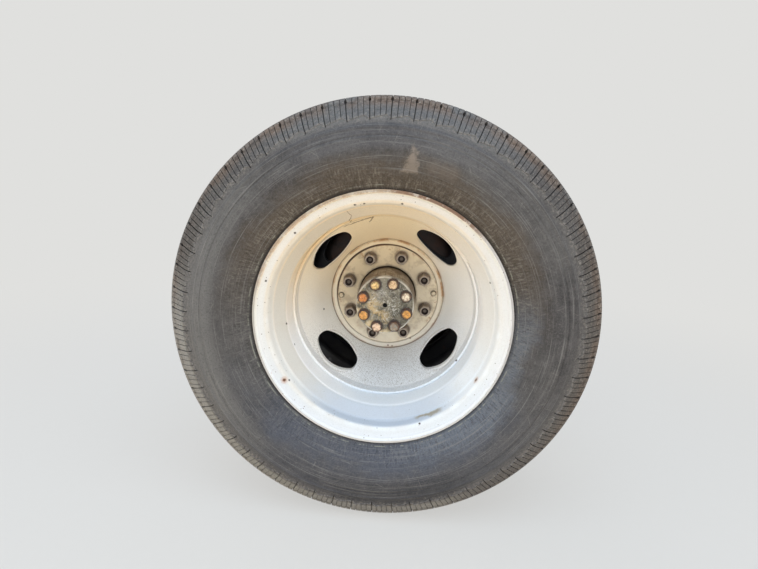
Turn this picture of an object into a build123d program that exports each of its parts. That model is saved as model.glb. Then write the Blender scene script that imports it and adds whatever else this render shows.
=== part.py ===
"""Twin rear wheel of a small bus on its hub, with the end of the axle that carries it.

Millimetres. The axle lies along Y: outboard is -Y, +Z is up, and +X points to the
vehicle's rear. The origin is the inner end of the axle tube, on the axle line.

The dual plane is where the two wheel discs meet. A "reach" is a distance from that
plane along the axle, outboard for the outer wheel and inboard for the inner one, so
that both wheels come from the same tables. A "station" is an inboard distance from
the dual plane for what isn't mirrored, negative outboard.
"""
import os
from math import cos, radians, sin, tan

from build123d import *

os.makedirs("parts", exist_ok=True)

# Axle layout and clearances
TUBE_END_STATION = 640.0
DUAL_Y = -TUBE_END_STATION
RIM_EDGE_REACH = 225.0
BOLT_TURN = 4.7
RUNNING_GAP = 0.05
BOLT_GAP = 0.15
WELD_GAP = 0.3
NOSE_CLEARANCE = 1.0
EDGE_SHARE = 0.995

# Rim, 16 in by 6 in; depths are measured from its edge
RIM_WIDTH = 178.0
RIM_SEAT_R = 198.2
RIM_FLANGE_HEIGHT = 19.6
RIM_WELL_DROP = 22.9
RIM_GAUGE = 4.6
LIP_FLARE = 2.2
SEAT_TAPER = 2.2
LIP_DEPTH = 6.0
FLANGE_DEPTH = 13.0
SEAT_END_DEPTH = 34.4
WELL_START_DEPTH = 58.0
WELL_END_DEPTH = 130.0
BACK_SEAT_DEPTH = 150.0

# Wheel disc
DISC_GAUGE = 8.0
DISC_FLANGE_GAUGE = 4.6
DISC_EDGE_REACH = 116.2
DISC_BEND_REACH = 98.6
DISC_BACK_STEP = 3.0
CONE_FOOT_R = 114.3
CONE_BACK_OFFSET = 4.4
RING_HEIGHT = 3.2
RING_WIDTH = 10.3
RING_OUTER_SLOPE = 2.0
RING_INNER_SLOPE = 0.8
CENTRE_BORE_R = 58.5

# Hand holes in the disc
HAND_HOLES = 4
HAND_HOLE_TURN = 50.0
HAND_HOLE_ARC_R = 76.0
HAND_HOLE_CHORD_R = 170.0
HAND_HOLE_FOOT_GAP = 12.6
HAND_HOLE_EDGE_GAP = 4.2
HAND_HOLE_CORNER = 12.0
CORNER_SHARE = 0.33

# Tyre valves
VALVE_HOLE_R = 5.7
VALVE_LENGTH = 27.0
VALVE_COLLAR = 3.0
VALVE_COLLAR_R = 8.5
VALVE_SEAT_GAP = 0.4
VALVE_CAP_R = 4.8
VALVE_CAP = 9.0

# Wheel studs and nuts
STUDS = 8
STUD_CIRCLE_R = 82.55
STUD_R = 7.1
STUD_HOLE_R = 8.6
STUD_END_REACH = 30.5
STUD_HEAD_R = 10.5
STUD_HEAD = 6.0
NUT_HEIGHT = 27.0
NUT_FLATS = 22.2
NUT_BORE_R = 7.4
NUT_CHAMFER = 2.0
NUT_WASHER_R = 15.6
NUT_WASHER_HEIGHT = 4.0
PIN_R = 5.0
PIN_CIRCLE_R = 95.0
PIN_PROUD = 5.0

# Tyre, 744 mm over the tread and 223 mm wide; heights are measured from the bead
TYRE_R = 372.0
TYRE_HALF_WIDTH = 111.5
TREAD_HALF_WIDTH = 76.0
TREAD_DROP = 3.2
TREAD_CROWN = 600.0
CROWN_HALF = 24.0
TREAD_THICKNESS = 17.0
SHOULDER_DROP = 34.0
SHOULDER_INSET = 8.0
SHOULDER_WALL = 8.0
SHOULDER_CORE_INSET = 18.0
BULGE_HEIGHT = 86.9
BULGE_HALF = 15.0
SIDEWALL = 9.0
LOWER_WALL_HEIGHT = 42.0
LOWER_WALL_INSET = 12.0
LOWER_WALL = 10.0
LOWER_CORE_LIFT = 4.0
NECK_GAP = 3.7
NECK_OVERHANG = 8.5
BEAD_GAP = 0.3
BEAD_WIDTH = 22.0
BEAD_HEEL = 3.7
BEAD_TOE_LIFT = 0.6
BEAD_FACE_HEIGHT = 12.5
BEAD_FACE_OVERHANG = 1.0
BEAD_CORE = 15.0
GROOVE_DEPTH = 9.0
GROOVE_WIDTH = 8.0
GROOVE_PLACES = (-44.0, -15.5, 15.5, 44.0)

# Hub
HUB_NOSE_REACH = 93.0
HUB_NOSE_R = 56.5
HUB_FLANGE_R = 97.0
HUB_FLANGE_THICKNESS = 16.0
HUB_BARREL_R = 68.0
HUB_END_STATION = 148.0
HUB_BORE_R = 48.0
HUB_END_STEP = 5.0
NOSE_BORE_R = 34.0
SEAL_RECESS_R = 56.0
BOLT_HOLE_SPARE = 2.0

# Bearing lands: stations of their two ends
OUTER_LAND_R = 33.0
OUTER_LAND = (-66.0, -48.0)
INNER_LAND_R = 44.0
INNER_LAND = (105.0, 130.0)

# Brake drum
DRUM_CLEARANCE = 8.0
DRUM_WALL = 10.0
DRUM_WEB = 6.0
DRUM_WEB_GAP = 0.6
DRUM_WEB_RIM = 2.0
DRUM_CUP_STATION = 104.0
DRUM_CUP_STEP = 4.0
DRUM_CUP_SLOPE = 10.0
DRUM_END_STATION = 190.0
DRUM_LIP = 8.0
DRUM_LIP_HEIGHT = 9.6
DRUM_RIB_HEIGHT = 3.6
DRUM_RIB_WIDTH = 5.0
DRUM_RIB_STATIONS = (122.0, 142.0, 162.0)

# Axle shaft and its driving flange
SHAFT_R = 19.0
SHAFT_ROOT = 5.0
SHAFT_FLANGE_R = 55.5
SHAFT_FLANGE_THICKNESS = 12.0
FLANGE_CHAMFER = 2.5
CENTRE_DRILL_R = 1.6
CENTRE_DRILL_DEPTH = 9.0
CENTRE_DIMPLE_R = 4.5
SPLINES = 30
SPLINE_LENGTH = 50.0
SPLINE_R = 20.4
SPLINE_DEPTH = 1.7
SPLINE_WIDTH = 2.1
FLANGE_BOLTS = 8
FLANGE_BOLT_CIRCLE_R = 44.0
FLANGE_BOLT_R = 6.35
FLANGE_BOLT_FLATS = 19.0
FLANGE_BOLT_HEAD = 8.3
FLANGE_BOLT_CHAMFER = 1.2
FLANGE_BOLT_GRIP = 34.0

# Spindle and axle tube
SPINDLE_BORE_R = 22.0
SPINDLE_TIP_R = 28.0
SPINDLE_TIP_STATION = -84.0
SPINDLE_WAIST_R = 40.0
SPINDLE_WAIST_LENGTH = 20.0
OUTER_LAND_SPARE = 4.0
INNER_LAND_SPARE = 3.0
SEAL_LAND_R = 52.0
BRAKE_FLANGE_R = 82.0
BRAKE_FLANGE_THICKNESS = 12.0
TUBE_R = 44.45
TUBE_WALL = 8.0
TUBE_SEAT_R = 44.0
TUBE_SEAT_LENGTH = 80.0

# Backing plate
PLATE_GAUGE = 3.0
DRUM_TO_PLATE = 6.0
PLATE_LIP_DEPTH = 12.0
PLATE_BEAD_R = 96.0
PLATE_BEAD_WIDTH = 20.0
PLATE_BEAD_DEPTH = 4.0
PLATE_BOLTS = 6
PLATE_BOLT_CIRCLE_R = 66.0
PLATE_BOLT_R = 6.0
PLATE_BOLT_HEAD = 7.0
PLATE_BOLT_END = 3.0
PLATE_NUT = 10.0
PLATE_NUT_FLATS = 19.0
PLUG_INSET = 12.4
PLUG_ANGLE = 230.0
PLUG_SPREAD = 80.0
PLUG_LENGTH = 30.0
PLUG_WIDTH = 13.0
PLUG_RIM = 5.0
PLUG_PROUD = 3.0

# Wheel cylinder
CYLINDER_INSET = 28.4
CYLINDER_R = 17.0
CYLINDER_TO_PLATE = 25.0
CYLINDER_LENGTH = 60.0
CYLINDER_FOOT_LENGTH = 44.0
CYLINDER_FOOT_WIDTH = 28.0
CYLINDER_FOOT_CORNER = 6.0
PISTON_R = 13.0
PISTON_REACH = 42.0
PORT_R = 9.0
PORT_BORE_R = 5.0
PORT_BORE_DEPTH = 12.0
PORT_PROUD = 10.0

# Spring seat and shock absorber bracket
SEAT_STATION = 400.0
SEAT_WIDTH = 76.0
SEAT_LENGTH = 130.0
SEAT_TOP = 64.0
SEAT_PLATE = 12.0
SEAT_CHEEK = 8.0
SEAT_SKIRT = 8.0
SEAT_BOLT_R = 8.0
SEAT_BOLT_DEPTH = 14.0
SHOCK_STATION = 500.0
SHOCK_DROP = 88.0
SHOCK_EYE_R = 8.0
SHOCK_BOSS_R = 20.0
SHOCK_ROOT_R = 40.0
SHOCK_PLATE = 12.0


def station_line(rows):
    """Points of a turned section; each row is radius, station, corner radius."""
    return [(radius, DUAL_Y + station) for radius, station, corner in rows]


def reach_line(rows, side):
    """Points of a wheel's turned section; each row is radius, reach, corner radius."""
    return [(radius, DUAL_Y + side * reach) for radius, reach, corner in rows]


def corners(rows):
    """Corner radii of a section's rows."""
    return [corner for radius, place, corner in rows]


def eased(points, radii, closed=True):
    """Corner radii, cut back where two corners share an edge too short for both."""
    count = len(points)
    tangents = []
    for number, radius in enumerate(radii):
        before, here, after = [Vector(*points[(number + step) % count]) for step in (-1, 0, 1)]
        turn = radians((here - before).get_angle(after - here))
        tangents.append(radius * tan(turn / 2))
    limited = list(radii)
    for number in range(count if closed else count - 1):
        following = (number + 1) % count
        length = (Vector(*points[following]) - Vector(*points[number])).length
        wanted = tangents[number] + tangents[following]
        if wanted > EDGE_SHARE * length:
            for corner in (number, following):
                limited[corner] = min(limited[corner], radii[corner] * EDGE_SHARE * length / wanted)
    return limited


def across(station):
    """Plane across the axle at this station, facing outboard; its X is +X and its Y is +Z."""
    return Plane.XZ.offset(-(DUAL_Y + station))


def save(piece, node):
    """Label the piece and write its STEP file."""
    piece.part.label = node
    export_step(piece.part, f"parts/{node}.step")


# Sections shared by both wheels; rows are radius, reach, corner radius
RIM_LIP_R = RIM_SEAT_R + RIM_FLANGE_HEIGHT
RIM_WELL_R = RIM_SEAT_R - RIM_WELL_DROP
RIM_SKIN = (
    (RIM_LIP_R, RIM_EDGE_REACH, 0.0),
    (RIM_LIP_R - LIP_FLARE, RIM_EDGE_REACH - LIP_DEPTH, 7.0),
    (RIM_SEAT_R, RIM_EDGE_REACH - FLANGE_DEPTH, 11.0),
    (RIM_SEAT_R - SEAT_TAPER, RIM_EDGE_REACH - SEAT_END_DEPTH, 12.0),
    (RIM_WELL_R, RIM_EDGE_REACH - WELL_START_DEPTH, 14.0),
    (RIM_WELL_R, RIM_EDGE_REACH - WELL_END_DEPTH, 12.0),
    (RIM_SEAT_R - SEAT_TAPER, RIM_EDGE_REACH - BACK_SEAT_DEPTH, 12.0),
    (RIM_SEAT_R, RIM_EDGE_REACH - RIM_WIDTH + FLANGE_DEPTH, 11.0),
    (RIM_LIP_R - LIP_FLARE, RIM_EDGE_REACH - RIM_WIDTH + LIP_DEPTH, 7.0),
    (RIM_LIP_R, RIM_EDGE_REACH - RIM_WIDTH, 0.0),
)
DISC_FLANGE_R = RIM_WELL_R - WELD_GAP
RING_OUTER_R = CONE_FOOT_R
RING_INNER_R = RING_OUTER_R - RING_WIDTH
DISC_SECTION = (
    (DISC_FLANGE_R, DISC_EDGE_REACH, 1.0),
    (DISC_FLANGE_R - DISC_FLANGE_GAUGE, DISC_EDGE_REACH, 1.0),
    (DISC_FLANGE_R - DISC_FLANGE_GAUGE, DISC_BEND_REACH, 9.0),
    (RING_OUTER_R, DISC_GAUGE, 0.8),
    (RING_OUTER_R - RING_OUTER_SLOPE, DISC_GAUGE + RING_HEIGHT, 1.0),
    (RING_INNER_R + RING_INNER_SLOPE, DISC_GAUGE + RING_HEIGHT, 0.8),
    (RING_INNER_R, DISC_GAUGE, 0.4),
    (CENTRE_BORE_R, DISC_GAUGE, 1.2),
    (CENTRE_BORE_R, 0.0, 0.0),
    (CONE_FOOT_R + CONE_BACK_OFFSET, 0.0, 14.0),
    (DISC_FLANGE_R, DISC_BEND_REACH - DISC_BACK_STEP, 12.0),
)

# Half sections of the tyre; rows are radius, distance from the tyre's middle, corner radius
SEAT_HALF = RIM_WIDTH / 2 - FLANGE_DEPTH
BEAD_R = RIM_SEAT_R + RIM_GAUGE + BEAD_GAP
BULGE_R = BEAD_R + BULGE_HEIGHT
SHOULDER_R = TYRE_R - SHOULDER_DROP
TYRE_OUTSIDE = (
    (BEAD_R - SEAT_TAPER + BEAD_TOE_LIFT, SEAT_HALF - BEAD_WIDTH, 1.5),
    (BEAD_R, SEAT_HALF - BEAD_HEEL, 7.0),
    (BEAD_R + BEAD_FACE_HEIGHT, SEAT_HALF + BEAD_FACE_OVERHANG, 4.0),
    (RIM_LIP_R + RIM_GAUGE + NECK_GAP, SEAT_HALF + NECK_OVERHANG, 8.0),
    (BEAD_R + LOWER_WALL_HEIGHT, TYRE_HALF_WIDTH - LOWER_WALL_INSET, 50.0),
    (BULGE_R - BULGE_HALF, TYRE_HALF_WIDTH, 85.0),
    (BULGE_R + BULGE_HALF, TYRE_HALF_WIDTH, 100.0),
    (SHOULDER_R, TYRE_HALF_WIDTH - SHOULDER_INSET, 9.0),
    (TYRE_R - TREAD_DROP, TREAD_HALF_WIDTH, 9.0),
)
TYRE_INSIDE = (
    (TYRE_R - TREAD_THICKNESS, TREAD_HALF_WIDTH - SHOULDER_CORE_INSET, 18.0),
    (SHOULDER_R - SHOULDER_WALL, TYRE_HALF_WIDTH - SHOULDER_INSET - SHOULDER_WALL, 20.0),
    (BULGE_R, TYRE_HALF_WIDTH - SIDEWALL, 120.0),
    (BEAD_R + LOWER_WALL_HEIGHT + LOWER_CORE_LIFT, TYRE_HALF_WIDTH - LOWER_WALL_INSET - LOWER_WALL, 40.0),
    (BEAD_R + BEAD_CORE, SEAT_HALF - BEAD_CORE, 10.0),
)
TYRE_LINE = (
    [(radius, place) for radius, place, corner in TYRE_OUTSIDE]
    + [(TYRE_R, CROWN_HALF), (TYRE_R, -CROWN_HALF)]
    + [(radius, -place) for radius, place, corner in reversed(TYRE_OUTSIDE)]
    + [(radius, -place) for radius, place, corner in reversed(TYRE_INSIDE)]
    + [(radius, place) for radius, place, corner in TYRE_INSIDE]
)
TYRE_CORNERS = (
    corners(TYRE_OUTSIDE) + [TREAD_CROWN, TREAD_CROWN] + corners(TYRE_OUTSIDE)[::-1]
    + corners(TYRE_INSIDE)[::-1] + corners(TYRE_INSIDE)
)

# Hand hole: a lens between an outer and a flatter inner arc, its two tips rounded; +Y is outward
hand_hole_top = DISC_FLANGE_R - DISC_FLANGE_GAUGE - HAND_HOLE_EDGE_GAP
hand_hole_foot = CONE_FOOT_R + HAND_HOLE_FOOT_GAP
with BuildSketch() as hand_hole:
    with Locations((0, hand_hole_top - HAND_HOLE_ARC_R)):
        Circle(HAND_HOLE_ARC_R)
    with Locations((0, hand_hole_foot + HAND_HOLE_CHORD_R)):
        Circle(HAND_HOLE_CHORD_R, mode=Mode.INTERSECT)
    corner = min(HAND_HOLE_CORNER, CORNER_SHARE * (hand_hole_top - hand_hole_foot))
    fillet(hand_hole.vertices(), radius=corner)

# Tyre section with its circumferential grooves; X is the radius
with BuildSketch() as tyre_section:
    with BuildLine():
        FilletPolyline(*TYRE_LINE, radius=eased(TYRE_LINE, TYRE_CORNERS), close=True)
    make_face()
    with Locations([(TYRE_R, place) for place in GROOVE_PLACES]):
        Rectangle(2 * GROOVE_DEPTH, GROOVE_WIDTH, mode=Mode.SUBTRACT)

# The two wheels: one pressing each for rim and disc, turned back to back
for name, side, valve_angle in (("outer", -1, HAND_HOLE_TURN + 180), ("inner", 1, HAND_HOLE_TURN)):
    slope_depth = BACK_SEAT_DEPTH - WELL_END_DEPTH
    slope_height = RIM_WELL_DROP - SEAT_TAPER
    valve_depth = WELL_END_DEPTH + slope_depth / 2
    valve_r = RIM_WELL_R + slope_height / 2
    valve_y = DUAL_Y + side * (RIM_EDGE_REACH - valve_depth)
    outward = (cos(radians(valve_angle)), sin(radians(valve_angle)))
    valve_plane = Plane(
        origin=(valve_r * outward[0], valve_y, valve_r * outward[1]),
        x_dir=(-outward[1], 0, outward[0]),
        z_dir=(-slope_depth * outward[0], -slope_height * side, -slope_depth * outward[1]),
    )

    rim_line = reach_line(RIM_SKIN, side)
    with BuildPart() as rim:
        with BuildSketch(Plane.XY):
            with BuildLine():
                FilletPolyline(*rim_line, radius=eased(rim_line, corners(RIM_SKIN), closed=False)[1:-1])
                offset(amount=RIM_GAUGE, side=Side.RIGHT if side < 0 else Side.LEFT)
            make_face()
        revolve(axis=Axis.Y)
        with BuildSketch(valve_plane):
            Circle(VALVE_HOLE_R)
        extrude(amount=2 * RIM_GAUGE, both=True, mode=Mode.SUBTRACT)
    save(rim, f"{name}_rim")

    disc_line = reach_line(DISC_SECTION, side)
    with BuildPart() as disc:
        with BuildSketch(Plane.XY):
            with BuildLine():
                FilletPolyline(*disc_line, radius=eased(disc_line, corners(DISC_SECTION)), close=True)
            make_face()
        revolve(axis=Axis.Y)
        with BuildSketch(across(0)):
            with PolarLocations(0, HAND_HOLES, start_angle=HAND_HOLE_TURN - 90):
                add(hand_hole.sketch)
        extrude(amount=-side * DISC_EDGE_REACH, mode=Mode.SUBTRACT)
        with BuildSketch(across(0)):
            with PolarLocations(STUD_CIRCLE_R, STUDS, start_angle=BOLT_TURN + 180 / STUDS):
                Circle(STUD_HOLE_R)
            with PolarLocations(PIN_CIRCLE_R, 2, start_angle=BOLT_TURN):
                Circle(PIN_R + WELD_GAP)
        extrude(amount=DISC_GAUGE + RING_HEIGHT, both=True, mode=Mode.SUBTRACT)
    save(disc, f"{name}_disc")

    with BuildPart() as tyre:
        with BuildSketch(Plane.XY):
            with Locations((0, DUAL_Y + side * (RIM_EDGE_REACH - RIM_WIDTH / 2))):
                add(tyre_section.sketch)
        revolve(axis=Axis.Y)
    save(tyre, f"{name}_tyre")

    with BuildPart() as valve:
        with BuildSketch(valve_plane.offset(-RIM_GAUGE - VALVE_COLLAR)):
            Circle(VALVE_HOLE_R - WELD_GAP)
        extrude(amount=RIM_GAUGE + VALVE_COLLAR + VALVE_LENGTH)
        with BuildSketch(valve_plane.offset(VALVE_SEAT_GAP)):
            Circle(VALVE_COLLAR_R)
        extrude(amount=VALVE_COLLAR, taper=20)
        with BuildSketch(valve_plane.offset(-RIM_GAUGE - VALVE_SEAT_GAP)):
            Circle(VALVE_COLLAR_R)
        extrude(amount=-VALVE_COLLAR)
        with BuildSketch(valve_plane.offset(VALVE_LENGTH)):
            Circle(VALVE_CAP_R)
        extrude(amount=-VALVE_CAP)
    save(valve, f"{name}_valve_stem")

# Hub: nose, wheel flange and barrel over two bearing lands
web_face = DISC_GAUGE + DRUM_WEB
hub_back = web_face + HUB_FLANGE_THICKNESS
HUB_SECTION = (
    (NOSE_BORE_R, -HUB_NOSE_REACH, 1.0),
    (HUB_NOSE_R, -HUB_NOSE_REACH, 1.5),
    (HUB_NOSE_R, web_face, 0.0),
    (HUB_FLANGE_R, web_face, 2.0),
    (HUB_FLANGE_R, hub_back, 2.0),
    (HUB_BARREL_R, hub_back, 3.0),
    (HUB_BARREL_R, INNER_LAND[0], 6.0),
    (HUB_BARREL_R - HUB_END_STEP, HUB_END_STATION, 1.0),
    (SEAL_RECESS_R, HUB_END_STATION, 1.0),
    (SEAL_RECESS_R, INNER_LAND[1], 0.0),
    (INNER_LAND_R + RUNNING_GAP, INNER_LAND[1], 0.0),
    (INNER_LAND_R + RUNNING_GAP, INNER_LAND[0], 0.0),
    (HUB_BORE_R, INNER_LAND[0], 0.0),
    (HUB_BORE_R, OUTER_LAND[1], 0.0),
    (OUTER_LAND_R + RUNNING_GAP, OUTER_LAND[1], 0.0),
    (OUTER_LAND_R + RUNNING_GAP, OUTER_LAND[0], 0.0),
    (NOSE_BORE_R, OUTER_LAND[0], 0.0),
)
hub_line = station_line(HUB_SECTION)
bolt_hole_depth = FLANGE_BOLT_GRIP - SHAFT_FLANGE_THICKNESS + BOLT_HOLE_SPARE
with BuildPart() as hub:
    with BuildSketch(Plane.XY):
        with BuildLine():
            FilletPolyline(*hub_line, radius=eased(hub_line, corners(HUB_SECTION)), close=True)
        make_face()
    revolve(axis=Axis.Y)
    with BuildSketch(across(-HUB_NOSE_REACH)):
        with PolarLocations(FLANGE_BOLT_CIRCLE_R, FLANGE_BOLTS, start_angle=BOLT_TURN + 180 / FLANGE_BOLTS):
            Circle(FLANGE_BOLT_R + BOLT_GAP)
    extrude(amount=-bolt_hole_depth, mode=Mode.SUBTRACT)
    with BuildSketch(across(hub_back)):
        with PolarLocations(STUD_CIRCLE_R, STUDS, start_angle=BOLT_TURN + 180 / STUDS):
            Circle(STUD_R + BOLT_GAP)
    extrude(amount=HUB_FLANGE_THICKNESS, mode=Mode.SUBTRACT)
save(hub, "hub")

# Brake drum: web on the hub flange, cone inside the inner disc, ribbed cup
drum_r = DISC_FLANGE_R - DISC_FLANGE_GAUGE - DRUM_CLEARANCE
shoe_r = drum_r - DRUM_WALL
drum_lip_r = drum_r + DRUM_LIP_HEIGHT
DRUM_SECTION = (
    (HUB_NOSE_R + NOSE_CLEARANCE, DISC_GAUGE, 0.0),
    (HUB_FLANGE_R + DRUM_WEB_RIM, DISC_GAUGE, 4.0),
    (drum_r - DRUM_CUP_STEP, DRUM_CUP_STATION - DRUM_CUP_SLOPE, 8.0),
    (drum_r, DRUM_CUP_STATION, 4.0),
    (drum_r, DRUM_END_STATION - DRUM_LIP, 2.0),
    (drum_lip_r, DRUM_END_STATION - DRUM_LIP, 1.0),
    (drum_lip_r, DRUM_END_STATION, 1.0),
    (shoe_r, DRUM_END_STATION, 1.5),
    (shoe_r, DRUM_CUP_STATION + DRUM_WEB, 8.0),
    (HUB_FLANGE_R + DRUM_WEB_GAP, web_face, 1.0),
    (HUB_NOSE_R + NOSE_CLEARANCE, web_face, 0.0),
)
drum_line = station_line(DRUM_SECTION)
with BuildPart() as drum:
    with BuildSketch(Plane.XY):
        with BuildLine():
            FilletPolyline(*drum_line, radius=eased(drum_line, corners(DRUM_SECTION)), close=True)
        make_face()
        with Locations([(drum_r, DUAL_Y + station) for station in DRUM_RIB_STATIONS]):
            Rectangle(2 * DRUM_RIB_HEIGHT, DRUM_RIB_WIDTH)
    revolve(axis=Axis.Y)
    with BuildSketch(across(DISC_GAUGE)):
        with PolarLocations(STUD_CIRCLE_R, STUDS, start_angle=BOLT_TURN + 180 / STUDS):
            Circle(STUD_HOLE_R)
    extrude(amount=-DRUM_WEB, mode=Mode.SUBTRACT)
save(drum, "brake_drum")

# Wheel studs with their heads behind the hub flange
with BuildPart() as studs:
    with BuildSketch(across(hub_back)):
        with PolarLocations(STUD_CIRCLE_R, STUDS, start_angle=BOLT_TURN + 180 / STUDS):
            Circle(STUD_R)
    extrude(amount=hub_back + STUD_END_REACH)
    with BuildSketch(across(hub_back)):
        with PolarLocations(STUD_CIRCLE_R, STUDS, start_angle=BOLT_TURN + 180 / STUDS):
            Circle(STUD_HEAD_R)
    extrude(amount=-STUD_HEAD)
save(studs, "wheel_studs")

# Wheel nuts: a swivel washer on the disc and a tall hexagon, open at its end
with BuildPart() as nuts:
    with BuildSketch(across(-DISC_GAUGE)):
        with PolarLocations(STUD_CIRCLE_R, STUDS, start_angle=BOLT_TURN + 180 / STUDS):
            Circle(NUT_WASHER_R)
    extrude(amount=NUT_WASHER_HEIGHT)
    with BuildSketch(across(-DISC_GAUGE - NUT_WASHER_HEIGHT)):
        with PolarLocations(STUD_CIRCLE_R, STUDS, start_angle=BOLT_TURN + 180 / STUDS):
            RegularPolygon(NUT_FLATS / 2, 6, major_radius=False)
    extrude(amount=NUT_HEIGHT - NUT_WASHER_HEIGHT)
    chamfer(nuts.faces().group_by(Axis.Y)[0].edges(), length=NUT_CHAMFER)
    with BuildSketch(across(-DISC_GAUGE)):
        with PolarLocations(STUD_CIRCLE_R, STUDS, start_angle=BOLT_TURN + 180 / STUDS):
            Circle(NUT_BORE_R)
    extrude(amount=NUT_HEIGHT, mode=Mode.SUBTRACT)
save(nuts, "lug_nuts")

# Two pins that key the discs to each other
with BuildPart() as pins:
    with BuildSketch(across(DISC_GAUGE)):
        with PolarLocations(PIN_CIRCLE_R, 2, start_angle=BOLT_TURN):
            Circle(PIN_R)
    extrude(amount=2 * DISC_GAUGE + PIN_PROUD)
save(pins, "locating_pins")

# Axle shaft: driving flange on the hub's nose, long shaft, splined end
flange_face = HUB_NOSE_REACH + SHAFT_FLANGE_THICKNESS
with BuildPart() as shaft:
    with BuildSketch(across(-flange_face)):
        Circle(SHAFT_FLANGE_R)
    extrude(amount=-SHAFT_FLANGE_THICKNESS)
    chamfer(shaft.edges().group_by(Axis.Y)[0], length=FLANGE_CHAMFER)
    with BuildSketch(across(-flange_face)):
        with PolarLocations(FLANGE_BOLT_CIRCLE_R, FLANGE_BOLTS, start_angle=BOLT_TURN + 180 / FLANGE_BOLTS):
            Circle(FLANGE_BOLT_R + BOLT_GAP)
    extrude(amount=-SHAFT_FLANGE_THICKNESS, mode=Mode.SUBTRACT)
    with BuildSketch(across(-HUB_NOSE_REACH)):
        Circle(SHAFT_R)
    extrude(amount=-HUB_NOSE_REACH - TUBE_END_STATION)
    shaft_circles = shaft.edges().filter_by(GeomType.CIRCLE).filter_by(lambda edge: edge.radius == SHAFT_R)
    fillet(shaft_circles.sort_by(Axis.Y)[0], radius=SHAFT_ROOT)
    with BuildSketch(across(TUBE_END_STATION)):
        Circle(SPLINE_R - SPLINE_DEPTH)
        with PolarLocations(SPLINE_R - SPLINE_DEPTH, SPLINES):
            Rectangle(2 * SPLINE_DEPTH, SPLINE_WIDTH)
    extrude(amount=-SPLINE_LENGTH)
    with Locations(across(-flange_face)):
        CounterSinkHole(CENTRE_DRILL_R, CENTRE_DIMPLE_R, depth=CENTRE_DRILL_DEPTH)
save(shaft, "axle_shaft")

# Bolts that hold the driving flange to the hub's nose
with BuildPart() as flange_bolts:
    with BuildSketch(across(-flange_face)):
        with PolarLocations(FLANGE_BOLT_CIRCLE_R, FLANGE_BOLTS, start_angle=BOLT_TURN + 180 / FLANGE_BOLTS):
            RegularPolygon(FLANGE_BOLT_FLATS / 2, 6, major_radius=False)
    extrude(amount=FLANGE_BOLT_HEAD)
    chamfer(flange_bolts.faces().group_by(Axis.Y)[0].edges(), length=FLANGE_BOLT_CHAMFER)
    with BuildSketch(across(-flange_face)):
        with PolarLocations(FLANGE_BOLT_CIRCLE_R, FLANGE_BOLTS, start_angle=BOLT_TURN + 180 / FLANGE_BOLTS):
            Circle(FLANGE_BOLT_R)
    extrude(amount=-FLANGE_BOLT_GRIP)
save(flange_bolts, "flange_bolts")

# Spindle: hollow stub that carries the hub, with the flange of the brake
plate_station = DRUM_END_STATION + DRUM_TO_PLATE
brake_face = plate_station + PLATE_GAUGE
tube_start = brake_face + BRAKE_FLANGE_THICKNESS
shoulder = INNER_LAND[1] + INNER_LAND_SPARE
SPINDLE_SECTION = (
    (SPINDLE_BORE_R, SPINDLE_TIP_STATION, 1.0),
    (SPINDLE_TIP_R, SPINDLE_TIP_STATION, 1.5),
    (SPINDLE_TIP_R, OUTER_LAND[0], 0.0),
    (OUTER_LAND_R, OUTER_LAND[0], 1.0),
    (OUTER_LAND_R, OUTER_LAND[1] + OUTER_LAND_SPARE, 4.0),
    (SPINDLE_WAIST_R, INNER_LAND[0] - SPINDLE_WAIST_LENGTH, 6.0),
    (INNER_LAND_R, INNER_LAND[0], 1.0),
    (INNER_LAND_R, shoulder, 0.0),
    (SEAL_LAND_R, shoulder, 1.5),
    (SEAL_LAND_R, brake_face, 0.0),
    (BRAKE_FLANGE_R, brake_face, 1.0),
    (BRAKE_FLANGE_R, tube_start, 2.0),
    (TUBE_R, tube_start, 0.0),
    (SPINDLE_BORE_R, tube_start, 0.0),
)
spindle_line = station_line(SPINDLE_SECTION)
with BuildPart() as spindle:
    with BuildSketch(Plane.XY):
        with BuildLine():
            FilletPolyline(*spindle_line, radius=eased(spindle_line, corners(SPINDLE_SECTION)), close=True)
        make_face()
    revolve(axis=Axis.Y)
    with BuildSketch(across(brake_face)):
        with PolarLocations(PLATE_BOLT_CIRCLE_R, PLATE_BOLTS):
            Circle(PLATE_BOLT_R + BOLT_GAP)
    extrude(amount=-BRAKE_FLANGE_THICKNESS, mode=Mode.SUBTRACT)
save(spindle, "spindle")

# Axle tube
with BuildPart() as tube:
    with BuildSketch(across(tube_start)):
        Circle(TUBE_R)
        Circle(TUBE_R - TUBE_WALL, mode=Mode.SUBTRACT)
    extrude(amount=tube_start - TUBE_END_STATION + TUBE_SEAT_LENGTH)
    with BuildSketch(across(TUBE_END_STATION - TUBE_SEAT_LENGTH)):
        Circle(TUBE_SEAT_R)
        Circle(TUBE_R - TUBE_WALL, mode=Mode.SUBTRACT)
    extrude(amount=-TUBE_SEAT_LENGTH)
save(tube, "axle_tube")

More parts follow.
